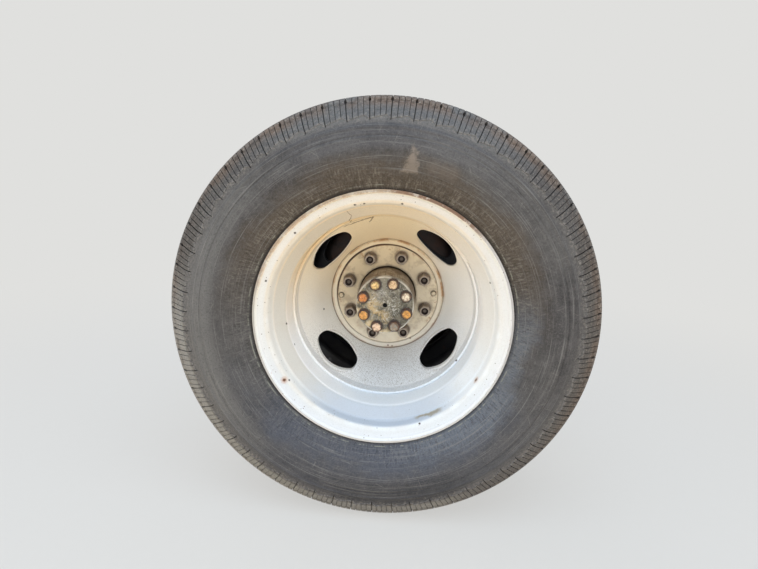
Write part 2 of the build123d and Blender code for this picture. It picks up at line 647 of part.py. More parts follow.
# Backing plate: a pressed disc with a ring bead and a lip round the drum
plate_r = drum_lip_r + DRUM_TO_PLATE
plug_circle_r = shoe_r - PLUG_INSET
cylinder_height = shoe_r - CYLINDER_INSET
PLATE_SECTION = (
    (SEAL_LAND_R + NOSE_CLEARANCE, plate_station, 0.0),
    (PLATE_BEAD_R - PLATE_BEAD_WIDTH / 2, plate_station, 4.0),
    (PLATE_BEAD_R - PLATE_BEAD_WIDTH / 4, plate_station + PLATE_BEAD_DEPTH, 4.0),
    (PLATE_BEAD_R + PLATE_BEAD_WIDTH / 4, plate_station + PLATE_BEAD_DEPTH, 4.0),
    (PLATE_BEAD_R + PLATE_BEAD_WIDTH / 2, plate_station, 4.0),
    (plate_r, plate_station, 3.0),
    (plate_r, plate_station - PLATE_LIP_DEPTH, 0.0),
)
plate_line = station_line(PLATE_SECTION)
with BuildPart() as plate:
    with BuildSketch(Plane.XY):
        with BuildLine():
            FilletPolyline(*plate_line, radius=eased(plate_line, corners(PLATE_SECTION), closed=False)[1:-1])
            offset(amount=PLATE_GAUGE, side=Side.LEFT)
        make_face()
    revolve(axis=Axis.Y)
    with BuildSketch(across(plate_station)):
        with PolarLocations(PLATE_BOLT_CIRCLE_R, PLATE_BOLTS):
            Circle(PLATE_BOLT_R + BOLT_GAP)
        with Locations((0, cylinder_height)):
            Circle(PORT_R + WELD_GAP)
        with PolarLocations(
            plug_circle_r, 2, start_angle=PLUG_ANGLE, angular_range=PLUG_SPREAD, endpoint=True
        ):
            SlotOverall(PLUG_LENGTH, PLUG_WIDTH, rotation=90)
    extrude(amount=-PLATE_GAUGE, mode=Mode.SUBTRACT)
save(plate, "backing_plate")

# Rubber plugs in the plate's two inspection slots
with BuildPart() as plugs:
    with BuildSketch(across(plate_station)):
        with PolarLocations(
            plug_circle_r, 2, start_angle=PLUG_ANGLE, angular_range=PLUG_SPREAD, endpoint=True
        ):
            SlotOverall(PLUG_LENGTH - 2 * WELD_GAP, PLUG_WIDTH - 2 * WELD_GAP, rotation=90)
    extrude(amount=-PLATE_GAUGE)
    with BuildSketch(across(brake_face)):
        with PolarLocations(
            plug_circle_r, 2, start_angle=PLUG_ANGLE, angular_range=PLUG_SPREAD, endpoint=True
        ):
            SlotOverall(PLUG_LENGTH + PLUG_RIM, PLUG_WIDTH + PLUG_RIM, rotation=90)
    extrude(amount=-PLUG_PROUD)
save(plugs, "inspection_plugs")

# Bolts that hold the plate to the spindle's flange
with BuildPart() as plate_bolts:
    with BuildSketch(across(tube_start)):
        with PolarLocations(PLATE_BOLT_CIRCLE_R, PLATE_BOLTS):
            RegularPolygon(PLATE_NUT_FLATS / 2, 6, major_radius=False)
    extrude(amount=-PLATE_NUT)
    with BuildSketch(across(plate_station)):
        with PolarLocations(PLATE_BOLT_CIRCLE_R, PLATE_BOLTS):
            RegularPolygon(PLATE_NUT_FLATS / 2, 6, major_radius=False)
    extrude(amount=PLATE_BOLT_HEAD)
    with BuildSketch(across(plate_station)):
        with PolarLocations(PLATE_BOLT_CIRCLE_R, PLATE_BOLTS):
            Circle(PLATE_BOLT_R)
    extrude(amount=plate_station - tube_start - PLATE_NUT - PLATE_BOLT_END)
save(plate_bolts, "plate_bolts")

# Wheel cylinder inside the drum, its inlet boss through the plate
with BuildPart() as cylinder:
    with BuildSketch(Plane.YZ.offset(-CYLINDER_LENGTH / 2)):
        with Locations((DUAL_Y + plate_station - CYLINDER_TO_PLATE, cylinder_height)):
            Circle(CYLINDER_R)
    extrude(amount=CYLINDER_LENGTH)
    with BuildSketch(Plane.YZ.offset(-PISTON_REACH)):
        with Locations((DUAL_Y + plate_station - CYLINDER_TO_PLATE, cylinder_height)):
            Circle(PISTON_R)
    extrude(amount=2 * PISTON_REACH)
    with BuildSketch(across(plate_station)):
        with Locations((0, cylinder_height)):
            RectangleRounded(CYLINDER_FOOT_LENGTH, CYLINDER_FOOT_WIDTH, radius=CYLINDER_FOOT_CORNER)
    extrude(amount=CYLINDER_TO_PLATE)
    with BuildSketch(across(brake_face + PORT_PROUD)):
        with Locations((0, cylinder_height)):
            Circle(PORT_R)
    extrude(amount=PORT_PROUD + PLATE_GAUGE + CYLINDER_TO_PLATE)
    with BuildSketch(across(brake_face + PORT_PROUD)):
        with Locations((0, cylinder_height)):
            Circle(PORT_BORE_R)
    extrude(amount=PORT_BORE_DEPTH, mode=Mode.SUBTRACT)
save(cylinder, "wheel_cylinder")

# Spring seat: a saddle welded over the tube, with the hole for the leaf spring's centre bolt
with BuildPart() as spring_seat:
    with BuildSketch(across(SEAT_STATION - SEAT_WIDTH / 2)):
        with Locations((0, SEAT_TOP)):
            Rectangle(SEAT_LENGTH, SEAT_PLATE, align=(Align.CENTER, Align.MAX))
            Rectangle(2 * (TUBE_R + SEAT_CHEEK), SEAT_TOP - SEAT_SKIRT, align=(Align.CENTER, Align.MAX))
        Circle(TUBE_R + WELD_GAP, mode=Mode.SUBTRACT)
    extrude(amount=-SEAT_WIDTH)
    with BuildSketch(Plane.XY.offset(SEAT_TOP)):
        with Locations((0, DUAL_Y + SEAT_STATION)):
            Circle(SEAT_BOLT_R)
    extrude(amount=-SEAT_BOLT_DEPTH, mode=Mode.SUBTRACT)
save(spring_seat, "spring_seat")

# Shock absorber bracket under the tube
with BuildPart() as shock_bracket:
    with BuildSketch(across(SHOCK_STATION - SHOCK_PLATE / 2)):
        with Locations((0, -SHOCK_DROP)):
            Circle(SHOCK_BOSS_R)
        with Locations((0, -SHOCK_BOSS_R)):
            Circle(SHOCK_ROOT_R)
        make_hull()
        Circle(TUBE_R + WELD_GAP, mode=Mode.SUBTRACT)
        with Locations((0, -SHOCK_DROP)):
            Circle(SHOCK_EYE_R, mode=Mode.SUBTRACT)
    extrude(amount=-SHOCK_PLATE)
save(shock_bracket, "shock_bracket")
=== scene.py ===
"""Looks of a small bus's twin rear wheel: detailed tyres, nuts, studs and bolts, materials with wear, dirt
and painted light and shade, studio.

Metres. The axle lies along Y: outboard is -Y, +Z is up, +X points to the vehicle's rear.
Sections are written in millimetres, as radius and distance along the axle.
"""

from functools import reduce
from math import cos, hypot, pi, radians, sin, tan

import bpy
import numpy as np
from mathutils import Matrix, Vector

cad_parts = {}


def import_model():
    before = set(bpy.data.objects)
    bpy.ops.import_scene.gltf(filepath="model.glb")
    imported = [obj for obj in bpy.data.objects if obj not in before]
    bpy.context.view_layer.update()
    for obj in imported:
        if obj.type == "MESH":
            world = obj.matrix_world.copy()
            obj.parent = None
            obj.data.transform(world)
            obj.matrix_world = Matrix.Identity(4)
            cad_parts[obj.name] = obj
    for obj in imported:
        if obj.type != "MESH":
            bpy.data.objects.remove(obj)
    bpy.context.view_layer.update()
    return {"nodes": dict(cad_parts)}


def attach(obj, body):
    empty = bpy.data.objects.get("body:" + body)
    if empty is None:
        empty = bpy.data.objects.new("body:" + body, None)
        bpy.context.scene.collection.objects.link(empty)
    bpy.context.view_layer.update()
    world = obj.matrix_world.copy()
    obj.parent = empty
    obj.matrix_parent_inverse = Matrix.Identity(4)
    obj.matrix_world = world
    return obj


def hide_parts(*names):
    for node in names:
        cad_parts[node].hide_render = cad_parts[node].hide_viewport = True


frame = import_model()
nodes = frame["nodes"]

MM = 0.001

# Places along the axle, in metres
DUAL_Y = -0.640
OUTER_TYRE_Y = DUAL_Y - 0.136
INNER_TYRE_Y = DUAL_Y + 0.136
DISC_FACE_Y = DUAL_Y - 0.008
FLANGE_FACE_Y = DUAL_Y - 0.105
HUB_BACK_Y = DUAL_Y + 0.030
FLOOR_Z = -0.372

# Bolt circles: radii in millimetres, directions in degrees
BOLT_TURN = 4.7
NUT_ANGLES = [BOLT_TURN + 22.5 + 45 * number for number in range(8)]
PIN_ANGLES = (BOLT_TURN, BOLT_TURN + 180)
STUD_CIRCLE = 82.55
PIN_CIRCLE = 95.0
FLANGE_BOLT_CIRCLE = 44.0


def on_circle(circle, turn):
    """X and Z, in metres, of a place on a bolt circle."""
    return circle * MM * cos(radians(turn)), circle * MM * sin(radians(turn))


def linear(red, green, blue):
    """Scene colour of an 8-bit screen colour."""
    return tuple((value / 255 / 12.92) if value < 11 else ((value / 255 + 0.055) / 1.055) ** 2.4
                 for value in (red, green, blue)) + (1.0,)


# Materials: a small node language

def put_in(tree, socket, value):
    """Link a value or socket to this input, or set it to a constant."""
    if isinstance(value, Value):
        value = value.socket
    if isinstance(value, bpy.types.NodeSocket):
        tree.links.new(value, socket)
    elif value is not None:
        socket.default_value = value


def add_node(tree, kind, *inputs, **settings):
    """A node of this kind, its first inputs linked or set."""
    node = tree.nodes.new(kind)
    for key, value in settings.items():
        setattr(node, key, value)
    for socket, value in zip(node.inputs, inputs):
        put_in(tree, socket, value)
    return node


class Value:
    """A number in a node tree; arithmetic on it adds Math nodes."""

    def __init__(self, paint, socket):
        self.paint = paint
        self.socket = socket

    def __add__(self, other):
        return self.paint.math("ADD", self, other)

    def __sub__(self, other):
        return self.paint.math("SUBTRACT", self, other)

    def __rsub__(self, other):
        return self.paint.math("SUBTRACT", other, self)

    def __mul__(self, other):
        return self.paint.math("MULTIPLY", self, other)

    def __truediv__(self, other):
        return self.paint.math("DIVIDE", self, other)

    __radd__ = __add__


def rise(value, low, high):
    """0 below low and 1 above high, smooth between; falls where low is above high."""
    node = value.paint.add("ShaderNodeMapRange", value, low, high, interpolation_type="SMOOTHSTEP")
    return Value(value.paint, node.outputs[0])


def band(value, low, high, soft):
    """1 between low and high, with soft edges."""
    return rise(value, low - soft, low + soft) * rise(value, high + soft, high - soft)


# Fineness along the axle of strokes drawn in the plane of the wheel
HATCH_DEPTH = 60


class Paint:
    """A node material in the making; x, y, z, radius and angle (degrees) are places on the object."""

    def __init__(self, name, metallic=0.0, specular=0.4):
        self.material = bpy.data.materials.new(name)
        self.material.use_nodes = True
        self.tree = self.material.node_tree
        self.shader = self.tree.nodes["Principled BSDF"]
        self.shader.inputs["Metallic"].default_value = metallic
        self.shader.inputs["Specular IOR Level"].default_value = specular
        self.place = self.add("ShaderNodeTexCoord").outputs["Object"]
        parts = self.add("ShaderNodeSeparateXYZ", self.place)
        self.x, self.y, self.z = [Value(self, output) for output in parts.outputs]
        self.radius = self.math("SQRT", self.x * self.x + self.z * self.z)
        self.angle = self.math("ARCTAN2", self.z, self.x) * (180 / pi)
        self.colour = None
        self.normal = None

    def add(self, kind, *inputs, **settings):
        return add_node(self.tree, kind, *inputs, **settings)

    def put(self, socket, value):
        put_in(self.tree, socket, value)

    def math(self, operation, first, second=None, third=None):
        return Value(self, self.add("ShaderNodeMath", first, second, third, operation=operation).outputs[0])

    def noise(self, scale, detail=3.0, rough=0.55, at=None):
        node = self.add("ShaderNodeTexNoise", self.place if at is None else at)
        node.inputs["Scale"].default_value = scale
        node.inputs["Detail"].default_value = detail
        node.inputs["Roughness"].default_value = rough
        return Value(self, node.outputs["Fac"])

    def cells(self, scale):
        """Distance to the nearest of scattered points, in cell sizes."""
        node = self.add("ShaderNodeTexVoronoi", self.place)
        node.inputs["Scale"].default_value = scale
        return Value(self, node.outputs["Distance"])

    def patches(self, scale, detail, rough, low, high):
        """Noise cut to patches: 0 where it is below low and 1 above high, or the other way round."""
        return rise(self.noise(scale, detail, rough), low, high)

    def stretched(self, detail, rough, *place):
        """Noise at a place made of three numbers."""
        return self.noise(1.0, detail, rough, at=self.add("ShaderNodeCombineXYZ", *place).outputs[0])

    def streaks(self, across, round_, along, detail, rough):
        """Noise stretched along radius, angle and axle."""
        return self.stretched(detail, rough, self.radius * across, self.angle * round_, self.y * along)

    def most(self, values):
        """The largest of these values."""
        return reduce(lambda first, second: self.math("MAXIMUM", first, second), values)

    def least(self, values):
        """The smallest of these values."""
        return reduce(lambda first, second: self.math("MINIMUM", first, second), values)

    def facing(self, turn):
        """1 in this direction from the axle, 0 square to it, -1 opposite; turn is in degrees."""
        return (self.x * cos(radians(turn)) + self.z * sin(radians(turn))) / self.radius

    def hatch(self, turn, fine, long):
        """Noise drawn out along one direction seen along the axle; turn is in degrees."""
        way = cos(radians(turn)), sin(radians(turn))
        along = (self.x * way[0] + self.z * way[1]) * long
        across = (self.z * way[0] - self.x * way[1]) * fine
        return self.stretched(3, 0.6, along, across, self.y * HATCH_DEPTH)

    def hatches(self, ways, low, high):
        """Short strokes in several directions: rows of turn, fineness across and along."""
        return self.most([rise(self.hatch(*way), low, high) for way in ways])

    def gap(self, point):
        """Distance from this point."""
        node = self.add("ShaderNodeVectorMath", self.place, point, operation="DISTANCE")
        return Value(self, node.outputs["Value"])

    def near(self, points, size, soft=0.5):
        """1 within size of any of these points, ragged at the edge."""
        ragged = self.noise(420, 3, 0.7) * (1.4 * size) - 0.7 * size
        nearest = self.least([self.gap(point) for point in points])
        return rise(nearest + ragged, size * (1 + soft), size * (1 - soft))

    def sector(self, first_angle, count):
        """Distances out along and aside from the nearest of count directions round the axle."""
        half = 180 / count
        turn = self.math("WRAP", self.angle - first_angle, -half, half) * (pi / 180)
        return self.radius * self.math("COSINE", turn), self.radius * self.math("SINE", turn)

    def off_circle(self, out, aside, middle, size):
        """Distance outside a circle whose centre lies middle out along a sector; below 0 inside it."""
        shifted = out - middle
        return self.math("SQRT", shifted * shifted + aside * aside) - size

    def bolt_gap(self, circle):
        """Distance from the nearest axis of the eight on this bolt circle."""
        return self.off_circle(*self.sector(NUT_ANGLES[0], len(NUT_ANGLES)), circle * MM, 0.0)

    def aside(self, start, end):
        """Distance to the left of a straight line seen along the axle; its ends are X and Z."""
        run = (end[0] - start[0], end[1] - start[1])
        return ((self.z - start[1]) * run[0] - (self.x - start[0]) * run[1]) / hypot(*run)

    def scratch(self, start, end, width):
        """1 along a thin straight line seen along the axle; its ends are X and Z."""
        run = (end[0] - start[0], end[1] - start[1])
        along = ((self.x - start[0]) * run[0] + (self.z - start[1]) * run[1]) / hypot(*run) ** 2
        aside = self.math("ABSOLUTE", self.aside(start, end) + (self.noise(160, 2) - 0.5) * 0.004)
        return band(along, 0.0, 1.0, 0.08) * rise(aside, width, width * 0.3)

    def mix(self, first, second, amount):
        """Colour between two, each an 8-bit screen colour or a socket."""
        node = self.add("ShaderNodeMix", data_type="RGBA", clamp_factor=True)
        self.put(node.inputs["Factor"], amount)
        for number, shade in ((6, first), (7, second)):
            self.put(node.inputs[number], linear(*shade) if isinstance(shade, tuple) else shade)
        return node.outputs[2]

    def base(self, first, second, amount):
        """Begin with a colour between two."""
        self.colour = self.mix(first, second, amount)

    def over(self, shade, amount):
        """Lay this share of a shade over the colour so far."""
        self.colour = self.mix(self.colour, shade, amount)

    def attribute(self, name):
        """A number stored on the mesh's points."""
        return Value(self, self.add("ShaderNodeAttribute", attribute_name=name).outputs["Fac"])

    def bump(self, height, depth, strength=1.0):
        """Add relief; depth is the height in metres of a value of 1."""
        node = self.add("ShaderNodeBump")
        node.inputs["Strength"].default_value = strength
        node.inputs["Distance"].default_value = depth
        self.put(node.inputs["Height"], height)
        self.put(node.inputs["Normal"], self.normal)
        self.normal = node.outputs[0]

    def done(self, roughness):
        """Join colour, roughness and relief to the shader."""
        self.put(self.shader.inputs["Base Color"], self.colour)
        self.put(self.shader.inputs["Roughness"], roughness)
        self.put(self.shader.inputs["Normal"], self.normal)
        return self.material


# Chips and stains of the outer wheel's paint, as places on its surface
CHIPS = (
    (-0.0548, -0.8526, 0.1933), (-0.0391, -0.8517, 0.1958), (0.0232, -0.8523, 0.1992),
    (-0.1521, -0.8564, 0.1418), (-0.2002, -0.8565, 0.0570), (-0.1743, -0.8078, -0.0304),
    (-0.1606, -0.8005, -0.0713), (0.1816, -0.8296, 0.0728), (0.0768, -0.8521, -0.1846),
    (0.1414, -0.7561, -0.0961), (-0.1262, -0.6754, -0.0336), (-0.1576, -0.8510, -0.1209),
)
RUST_CHIPS = ((0.1704, -0.8422, -0.0996), (-0.1660, -0.8552, -0.1199))
RING_CHIPS = ((0.0527, -0.6508, -0.0906), (0.0161, -0.6511, -0.1106), (0.0076, -0.6510, -0.1091))
SCRATCHES = (
    ((-0.0703, 0.1799), (-0.0633, 0.1721)),
    ((-0.0633, 0.1721), (-0.0721, 0.1534)), ((-0.0855, 0.1436), (-0.0581, 0.1549)),
    ((-0.0581, 0.1549), (-0.0302, 0.1655)), ((-0.0302, 0.1655), (-0.0389, 0.1535)),
)

# Directions of stains, dust, painted light and painted shade, in degrees from the rear, seen from outboard
STAIN_AND_BOUNCE_TURN = 112
CREVICE_SHADOW_TURN = 120
LIP_RUST_TURN = 68
PALE_TURN = -125
SKY_LIGHT_TURN = -32
FOOT_TURN = -82

# Hand holes: the two arcs of their outline, as centre and radius along the line through the hole
HOLE_TURN = 50
HOLE_ARCS = ((0.0902, 0.0760), (0.2969, 0.1700))


def wheel_tones(paint, mottle, toward, stain_and_bounce_side, lower_half, flange, disc):
    """Clean paint: a tan on one side, partly stain and partly painted warm bounce light; painted cool sky
    light on the other; painted shade on slopes, to the lower left and at the bottom; painted light deep in
    the dish and on the disc.
    """
    over, radius = paint.over, paint.radius
    up, rear = paint.z / radius, paint.x / radius
    wall = (1 - flange) * (1 - disc)
    paint.base((242, 241, 238), (233, 231, 226), mottle)
    # Painted shade and light: flange a little darker, disc and its foot lighter, evening out the light in the
    # dish
    over((229, 230, 231), flange * 0.6)
    over((253, 252, 249), disc * 0.85)
    over((255, 255, 252), disc * rise(radius, 0.15, 0.125))
    # Painted light on the deep wall of the well
    deep = wall * rise(radius, 0.1768, 0.1756)
    over((252, 252, 252), deep)
    # Tan on one side: partly stain, partly painted warm light bounced up from the ground
    over(paint.mix((240, 214, 172), (252, 233, 199), disc), stain_and_bounce_side * (1 - flange * 0.84))
    # Painted cool sky light on the side opposite the tan
    painted_sky_side = rise(toward, -0.3, -0.95)
    over((236, 245, 254), painted_sky_side * (0.2 + wall * 0.6))
    # Painted shade on the slope
    slope = band(radius, 0.1768, 0.1935, 0.001)
    over((206, 204, 200), slope * 0.35)
    # Painted sky light and shade: blue-grey on the well at the bottom, bluish on the flange's lower half
    bottom = rise(up, -0.55, -0.95)
    over((178, 191, 208), band(radius, 0.1768, 0.1985, 0.0012) * bottom * 0.76)
    over((208, 216, 226), flange * lower_half * 0.45)
    # Painted shade on the left slope, and to the lower left on flange and slope
    left_slope = slope * rise(rear, 0.1, -0.6) * (1 - bottom)
    over((178, 176, 172), left_slope * 0.4)
    lower_left = rise(paint.facing(PALE_TURN), -0.2, 0.8)
    over((206, 206, 206), (flange + slope) * lower_left * 0.18)
    # Painted light along the fold
    fold = band(radius, 0.195, 0.202, 0.002)
    over((246, 250, 253), fold * (1 - stain_and_bounce_side * 0.3) * (1 - bottom) * 0.7)
    # Painted cool sky light on the disc
    over((214, 219, 225), disc * painted_sky_side * 0.6)
    groove = band(radius, 0.1682, 0.1702, 0.0006)
    over((150, 150, 148), groove * 0.34)
    over((206, 196, 176), (1 - flange) * (1 - deep) * rise(rear, -0.3, -0.95) * 0.25)


def pad_dirt_light_and_shade(paint, mottle):
    """Tan pad inside the ring, smudged and rusty, with painted light low down and painted shade round nuts,
    pins and the hub nose.
    """
    patches, over, radius, z = paint.patches, paint.over, paint.radius, paint.z
    pad = rise(radius, 0.1045, 0.1038)
    over((230, 215, 184), pad * (0.62 + mottle * 0.3))
    over((156, 134, 106), patches(46, 5, 0.7, 0.46, 0.66) * pad * 0.42)
    rust = patches(58, 5, 0.7, 0.56, 0.66) * rise(radius, 0.078, 0.098)
    over((172, 126, 80), rust * pad * 0.6)
    # Painted light low on the pad, where the hub nose shades it
    over((250, 242, 224), pad * rise(z, -0.045, -0.095) * 0.6)
    # Painted shade in a ring round each nut's foot
    shade_ring = rise(paint.bolt_gap(STUD_CIRCLE) + mottle * 0.006, 0.0205, 0.015) * pad
    over((126, 113, 100), shade_ring * 0.55)
    # Painted shade round the hub nose's foot
    over((112, 94, 76), rise(radius + mottle * 0.008, 0.068, 0.061) * pad * 0.7)
    # Painted shade round the pins' feet
    for turn in PIN_ANGLES:
        pin_x, pin_z = on_circle(PIN_CIRCLE, turn)
        gap = paint.gap((pin_x, DISC_FACE_Y, pin_z))
        over((96, 80, 62), rise(gap, 0.0078, 0.005) * 0.75)
    return pad


def ring_dirt_and_shade(paint):
    """Raised ring: tan with orange stain in places, a dark gap inside it of rust and painted shadow that
    widens towards the top, painted shade under its outer edge.
    """
    over, radius, x, z = paint.over, paint.radius, paint.x, paint.z
    stain = paint.patches(26, 4, 0.6, 0.44, 0.64)
    above = rise(z + x * 0.5, -0.09, 0.08)
    over((222, 207, 178), band(radius, 0.1035, 0.1155, 0.0012) * (0.45 + above * 0.25))
    outer_edge = band(radius, 0.1108, 0.116, 0.001)
    over((172, 112, 60), outer_edge * stain * (0.25 + above * 0.6))
    # Dark gap inside the ring: rust and a painted shadow, wider and darker towards the top
    top = rise(z * 0.9 - x * 0.44, -0.03, 0.075)
    wide = 0.0004 + top * 0.0018
    shift = rise(paint.facing(CREVICE_SHADOW_TURN), 0.8, 0.96) * 0.0012
    crevice_rust_and_shadow = rise(radius - shift, 0.1047, 0.104) * rise(radius + wide, 0.1033, 0.1039)
    over((64, 38, 21), crevice_rust_and_shadow * (0.3 + top * 0.66))
    over((206, 164, 112), band(radius, 0.109, 0.118, 0.0022) * above * stain * 0.35)
    over((150, 108, 68), band(radius, 0.1, 0.1031, 0.0014) * above * stain * 0.6)
    # Painted shade along the ring's outer foot, stronger towards the bottom
    over((100, 82, 62), band(radius, 0.1141, 0.1159, 0.0006) * (0.78 - above * 0.25))


def hand_hole_edges(paint):
    """A painted highlight along the hand holes' edges with a dusty line outside it."""
    out, aside = paint.sector(HOLE_TURN, 4)
    outline = paint.most([paint.off_circle(out, aside, middle, size) for middle, size in HOLE_ARCS])
    middle_part = rise(paint.math("ABSOLUTE", aside), 0.04, 0.03)
    # Painted highlight on the edge
    paint.over((244, 243, 240), band(outline, 0.0, 0.0011, 0.0004) * middle_part * 0.7)
    paint.over((150, 138, 120), band(outline, 0.0022, 0.0036, 0.001) * middle_part * 0.3)


def joint_lines(paint, mottle):
    """Joint between rim and disc, the line where the bead seat begins, and a streak low on the right."""
    over, angle = paint.over, paint.angle
    joint = band(paint.radius, 0.1736, 0.1756, 0.0004) * rise(paint.y, -0.752, -0.75)
    over((96, 80, 62), joint * 0.7)
    seat = band(paint.y, -0.8535, -0.848, 0.0035)
    over((190, 170, 138), seat * paint.patches(34, 4, 0.55, 0.3, 0.62) * 0.22)
    streak_line = paint.radius + mottle * 0.004 - (angle + 61) * 0.0001
    streak = band(streak_line, 0.1976, 0.1992, 0.0006) * band(angle, -69, -55, 2.0)
    over((150, 136, 100), streak * 0.75)


def lip_wear_and_highlight(paint, stain_and_bounce_side, lower_half):
    """Lip of the rim: chalky paint with a painted highlight, warm on the stain-and-bounce side, stained and
    rusty towards the top, dark at its very end.
    """
    over, radius = paint.over, paint.radius
    ragged = paint.noise(70, 5, 0.75)
    lip = rise(radius, 0.214, 0.2168)
    # Pale lip: chalky paint and a painted highlight
    over(paint.mix((246, 247, 248), (252, 238, 212), stain_and_bounce_side), lip * (0.45 + ragged * 0.5))
    stain = lip * rise(ragged, 0.62, 0.7) * (1 - lower_half * 0.6)
    over((164, 106, 60), stain * 0.7)
    rust = rise(paint.facing(LIP_RUST_TURN), 0.88, 0.97) * rise(ragged, 0.34, 0.5)
    over((128, 82, 48), rise(radius, 0.2162, 0.2174) * rust * 0.85)
    upper_left = rise((paint.z * 0.78 - paint.x * 0.62) / radius, 0.62, 0.92)
    over((182, 132, 84), rise(radius, 0.2148, 0.2172) * upper_left * rise(ragged, 0.36, 0.56) * 0.55)
    over((96, 70, 48), rise(radius, 0.2178, 0.2183) * (0.45 - lower_half * 0.25))


def chips(paint, grain):
    """Rust specks outside, fine specks everywhere, scratches and chips at their places."""
    over, near = paint.over, paint.near
    outer_speck = rise(paint.cells(105) + grain * 0.03, 0.115, 0.08) * rise(paint.y, -0.826, -0.836)
    over((92, 66, 44), outer_speck * 0.9)
    over((70, 58, 46), rise(paint.cells(62), 0.04, 0.024) * 0.9)
    for start, end in SCRATCHES:
        over((128, 96, 62), paint.scratch(start, end, 0.0011) * 0.75)
    over((176, 120, 70), near(RUST_CHIPS, 0.0055, 0.6) * 0.6)
    over((92, 50, 28), near(RUST_CHIPS, 0.0026, 0.5))
    over((110, 70, 44), near(RING_CHIPS, 0.0017, 0.6) * 0.85)
    over((52, 42, 34), near(CHIPS, 0.0019, 0.5))


def wheel_paint():
    """White paint of rim and disc: dusty, tan towards the top (stain and painted warm bounce light), painted
    cool sky light lower down, painted shade and light in the dish, rust at edges, ring and chips.
    """
    paint = Paint("worn_white_paint")
    noise, over, radius = paint.noise, paint.over, paint.radius
    mottle = noise(60, 5, 0.65)
    grain = noise(1300, 2, 0.6)
    # Side of the tan, partly stain and partly painted bounce light; the painted cool sky light lies opposite
    toward = paint.facing(STAIN_AND_BOUNCE_TURN) + (noise(9, 4, 0.6) - 0.5) * 0.5
    stain_and_bounce_side = rise(toward, -0.15, 1.0)
    lower_half = rise(paint.z / radius, -0.1, -0.7)
    flange = rise(radius, 0.199, 0.207)
    disc = rise(radius, 0.172, 0.165)
    wheel_tones(paint, mottle, toward, stain_and_bounce_side, lower_half, flange, disc)

    # Powdery dirt on the lower disc and rubbed-in dirt everywhere
    low = band(radius, 0.116, 0.17, 0.006) * rise(paint.z, -0.03, -0.12)
    specks = rise(noise(520, 4, 0.75) + grain * 0.35, 0.67, 0.78)
    foot = disc * rise(radius, 0.15, 0.125)
    over((132, 124, 114), specks * (0.1 - foot * 0.06 + low * 0.5))
    over((190, 174, 148), paint.patches(24, 6, 0.7, 0.55, 0.75) * (1 - disc * 0.7) * 0.12)
    foot_dust = rise(radius, 0.1215, 0.1165) * rise(toward, 0.7, -0.4)
    over((176, 164, 144), foot_dust * disc * 0.12)

    pad = pad_dirt_light_and_shade(paint, mottle)
    ring_dirt_and_shade(paint)
    hand_hole_edges(paint)
    joint_lines(paint, mottle)
    lip_wear_and_highlight(paint, stain_and_bounce_side, lower_half)
    chips(paint, grain)
    paint.bump(grain, 0.0001, 0.5)
    paint.bump(mottle, 0.0006, 0.35)
    paint.bump(noise(17, 2, 0.55), 0.004, 0.25)
    return paint.done(roughness=0.43 + mottle * 0.12 + specks * 0.2 + pad * 0.1)


def inner_paint():
    """Black paint of the inner rim and disc, dusty and rusting."""
    paint = Paint("inner_black_paint")
    dust = paint.patches(22, 5, 0.65, 0.42, 0.75)
    rust = paint.patches(48, 6, 0.7, 0.6, 0.72)
    paint.base((50, 51, 54), (84, 81, 76), dust * 0.55)
    paint.over((92, 58, 38), rust * 0.45)
    paint.bump(paint.noise(700, 3), 0.0003, 0.5)
    return paint.done(roughness=0.34 + dust * 0.3)


# Pale scuff on the outer tyre's side: its corners, X and Z
SCUFF = ((0.0366, 0.2942), (0.0169, 0.2496), (0.046, 0.2493), (0.0436, 0.2819))
# Fainter scuff to the right of it
FAR_SCUFF = ((0.0978, -0.8862, 0.2529), (0.084, -0.8854, 0.2556), (0.07, -0.884, 0.26))
# Fine radial ribs by the rim, round the tyre
SERRATIONS = 360
# Strokes on the side: turn in degrees, fineness across and along
LIGHT_STROKES = ((24, 330, 28), (66, 360, 34), (112, 340, 30), (155, 370, 26))
DARK_STROKES = ((45, 300, 32), (92, 320, 36), (172, 310, 30))


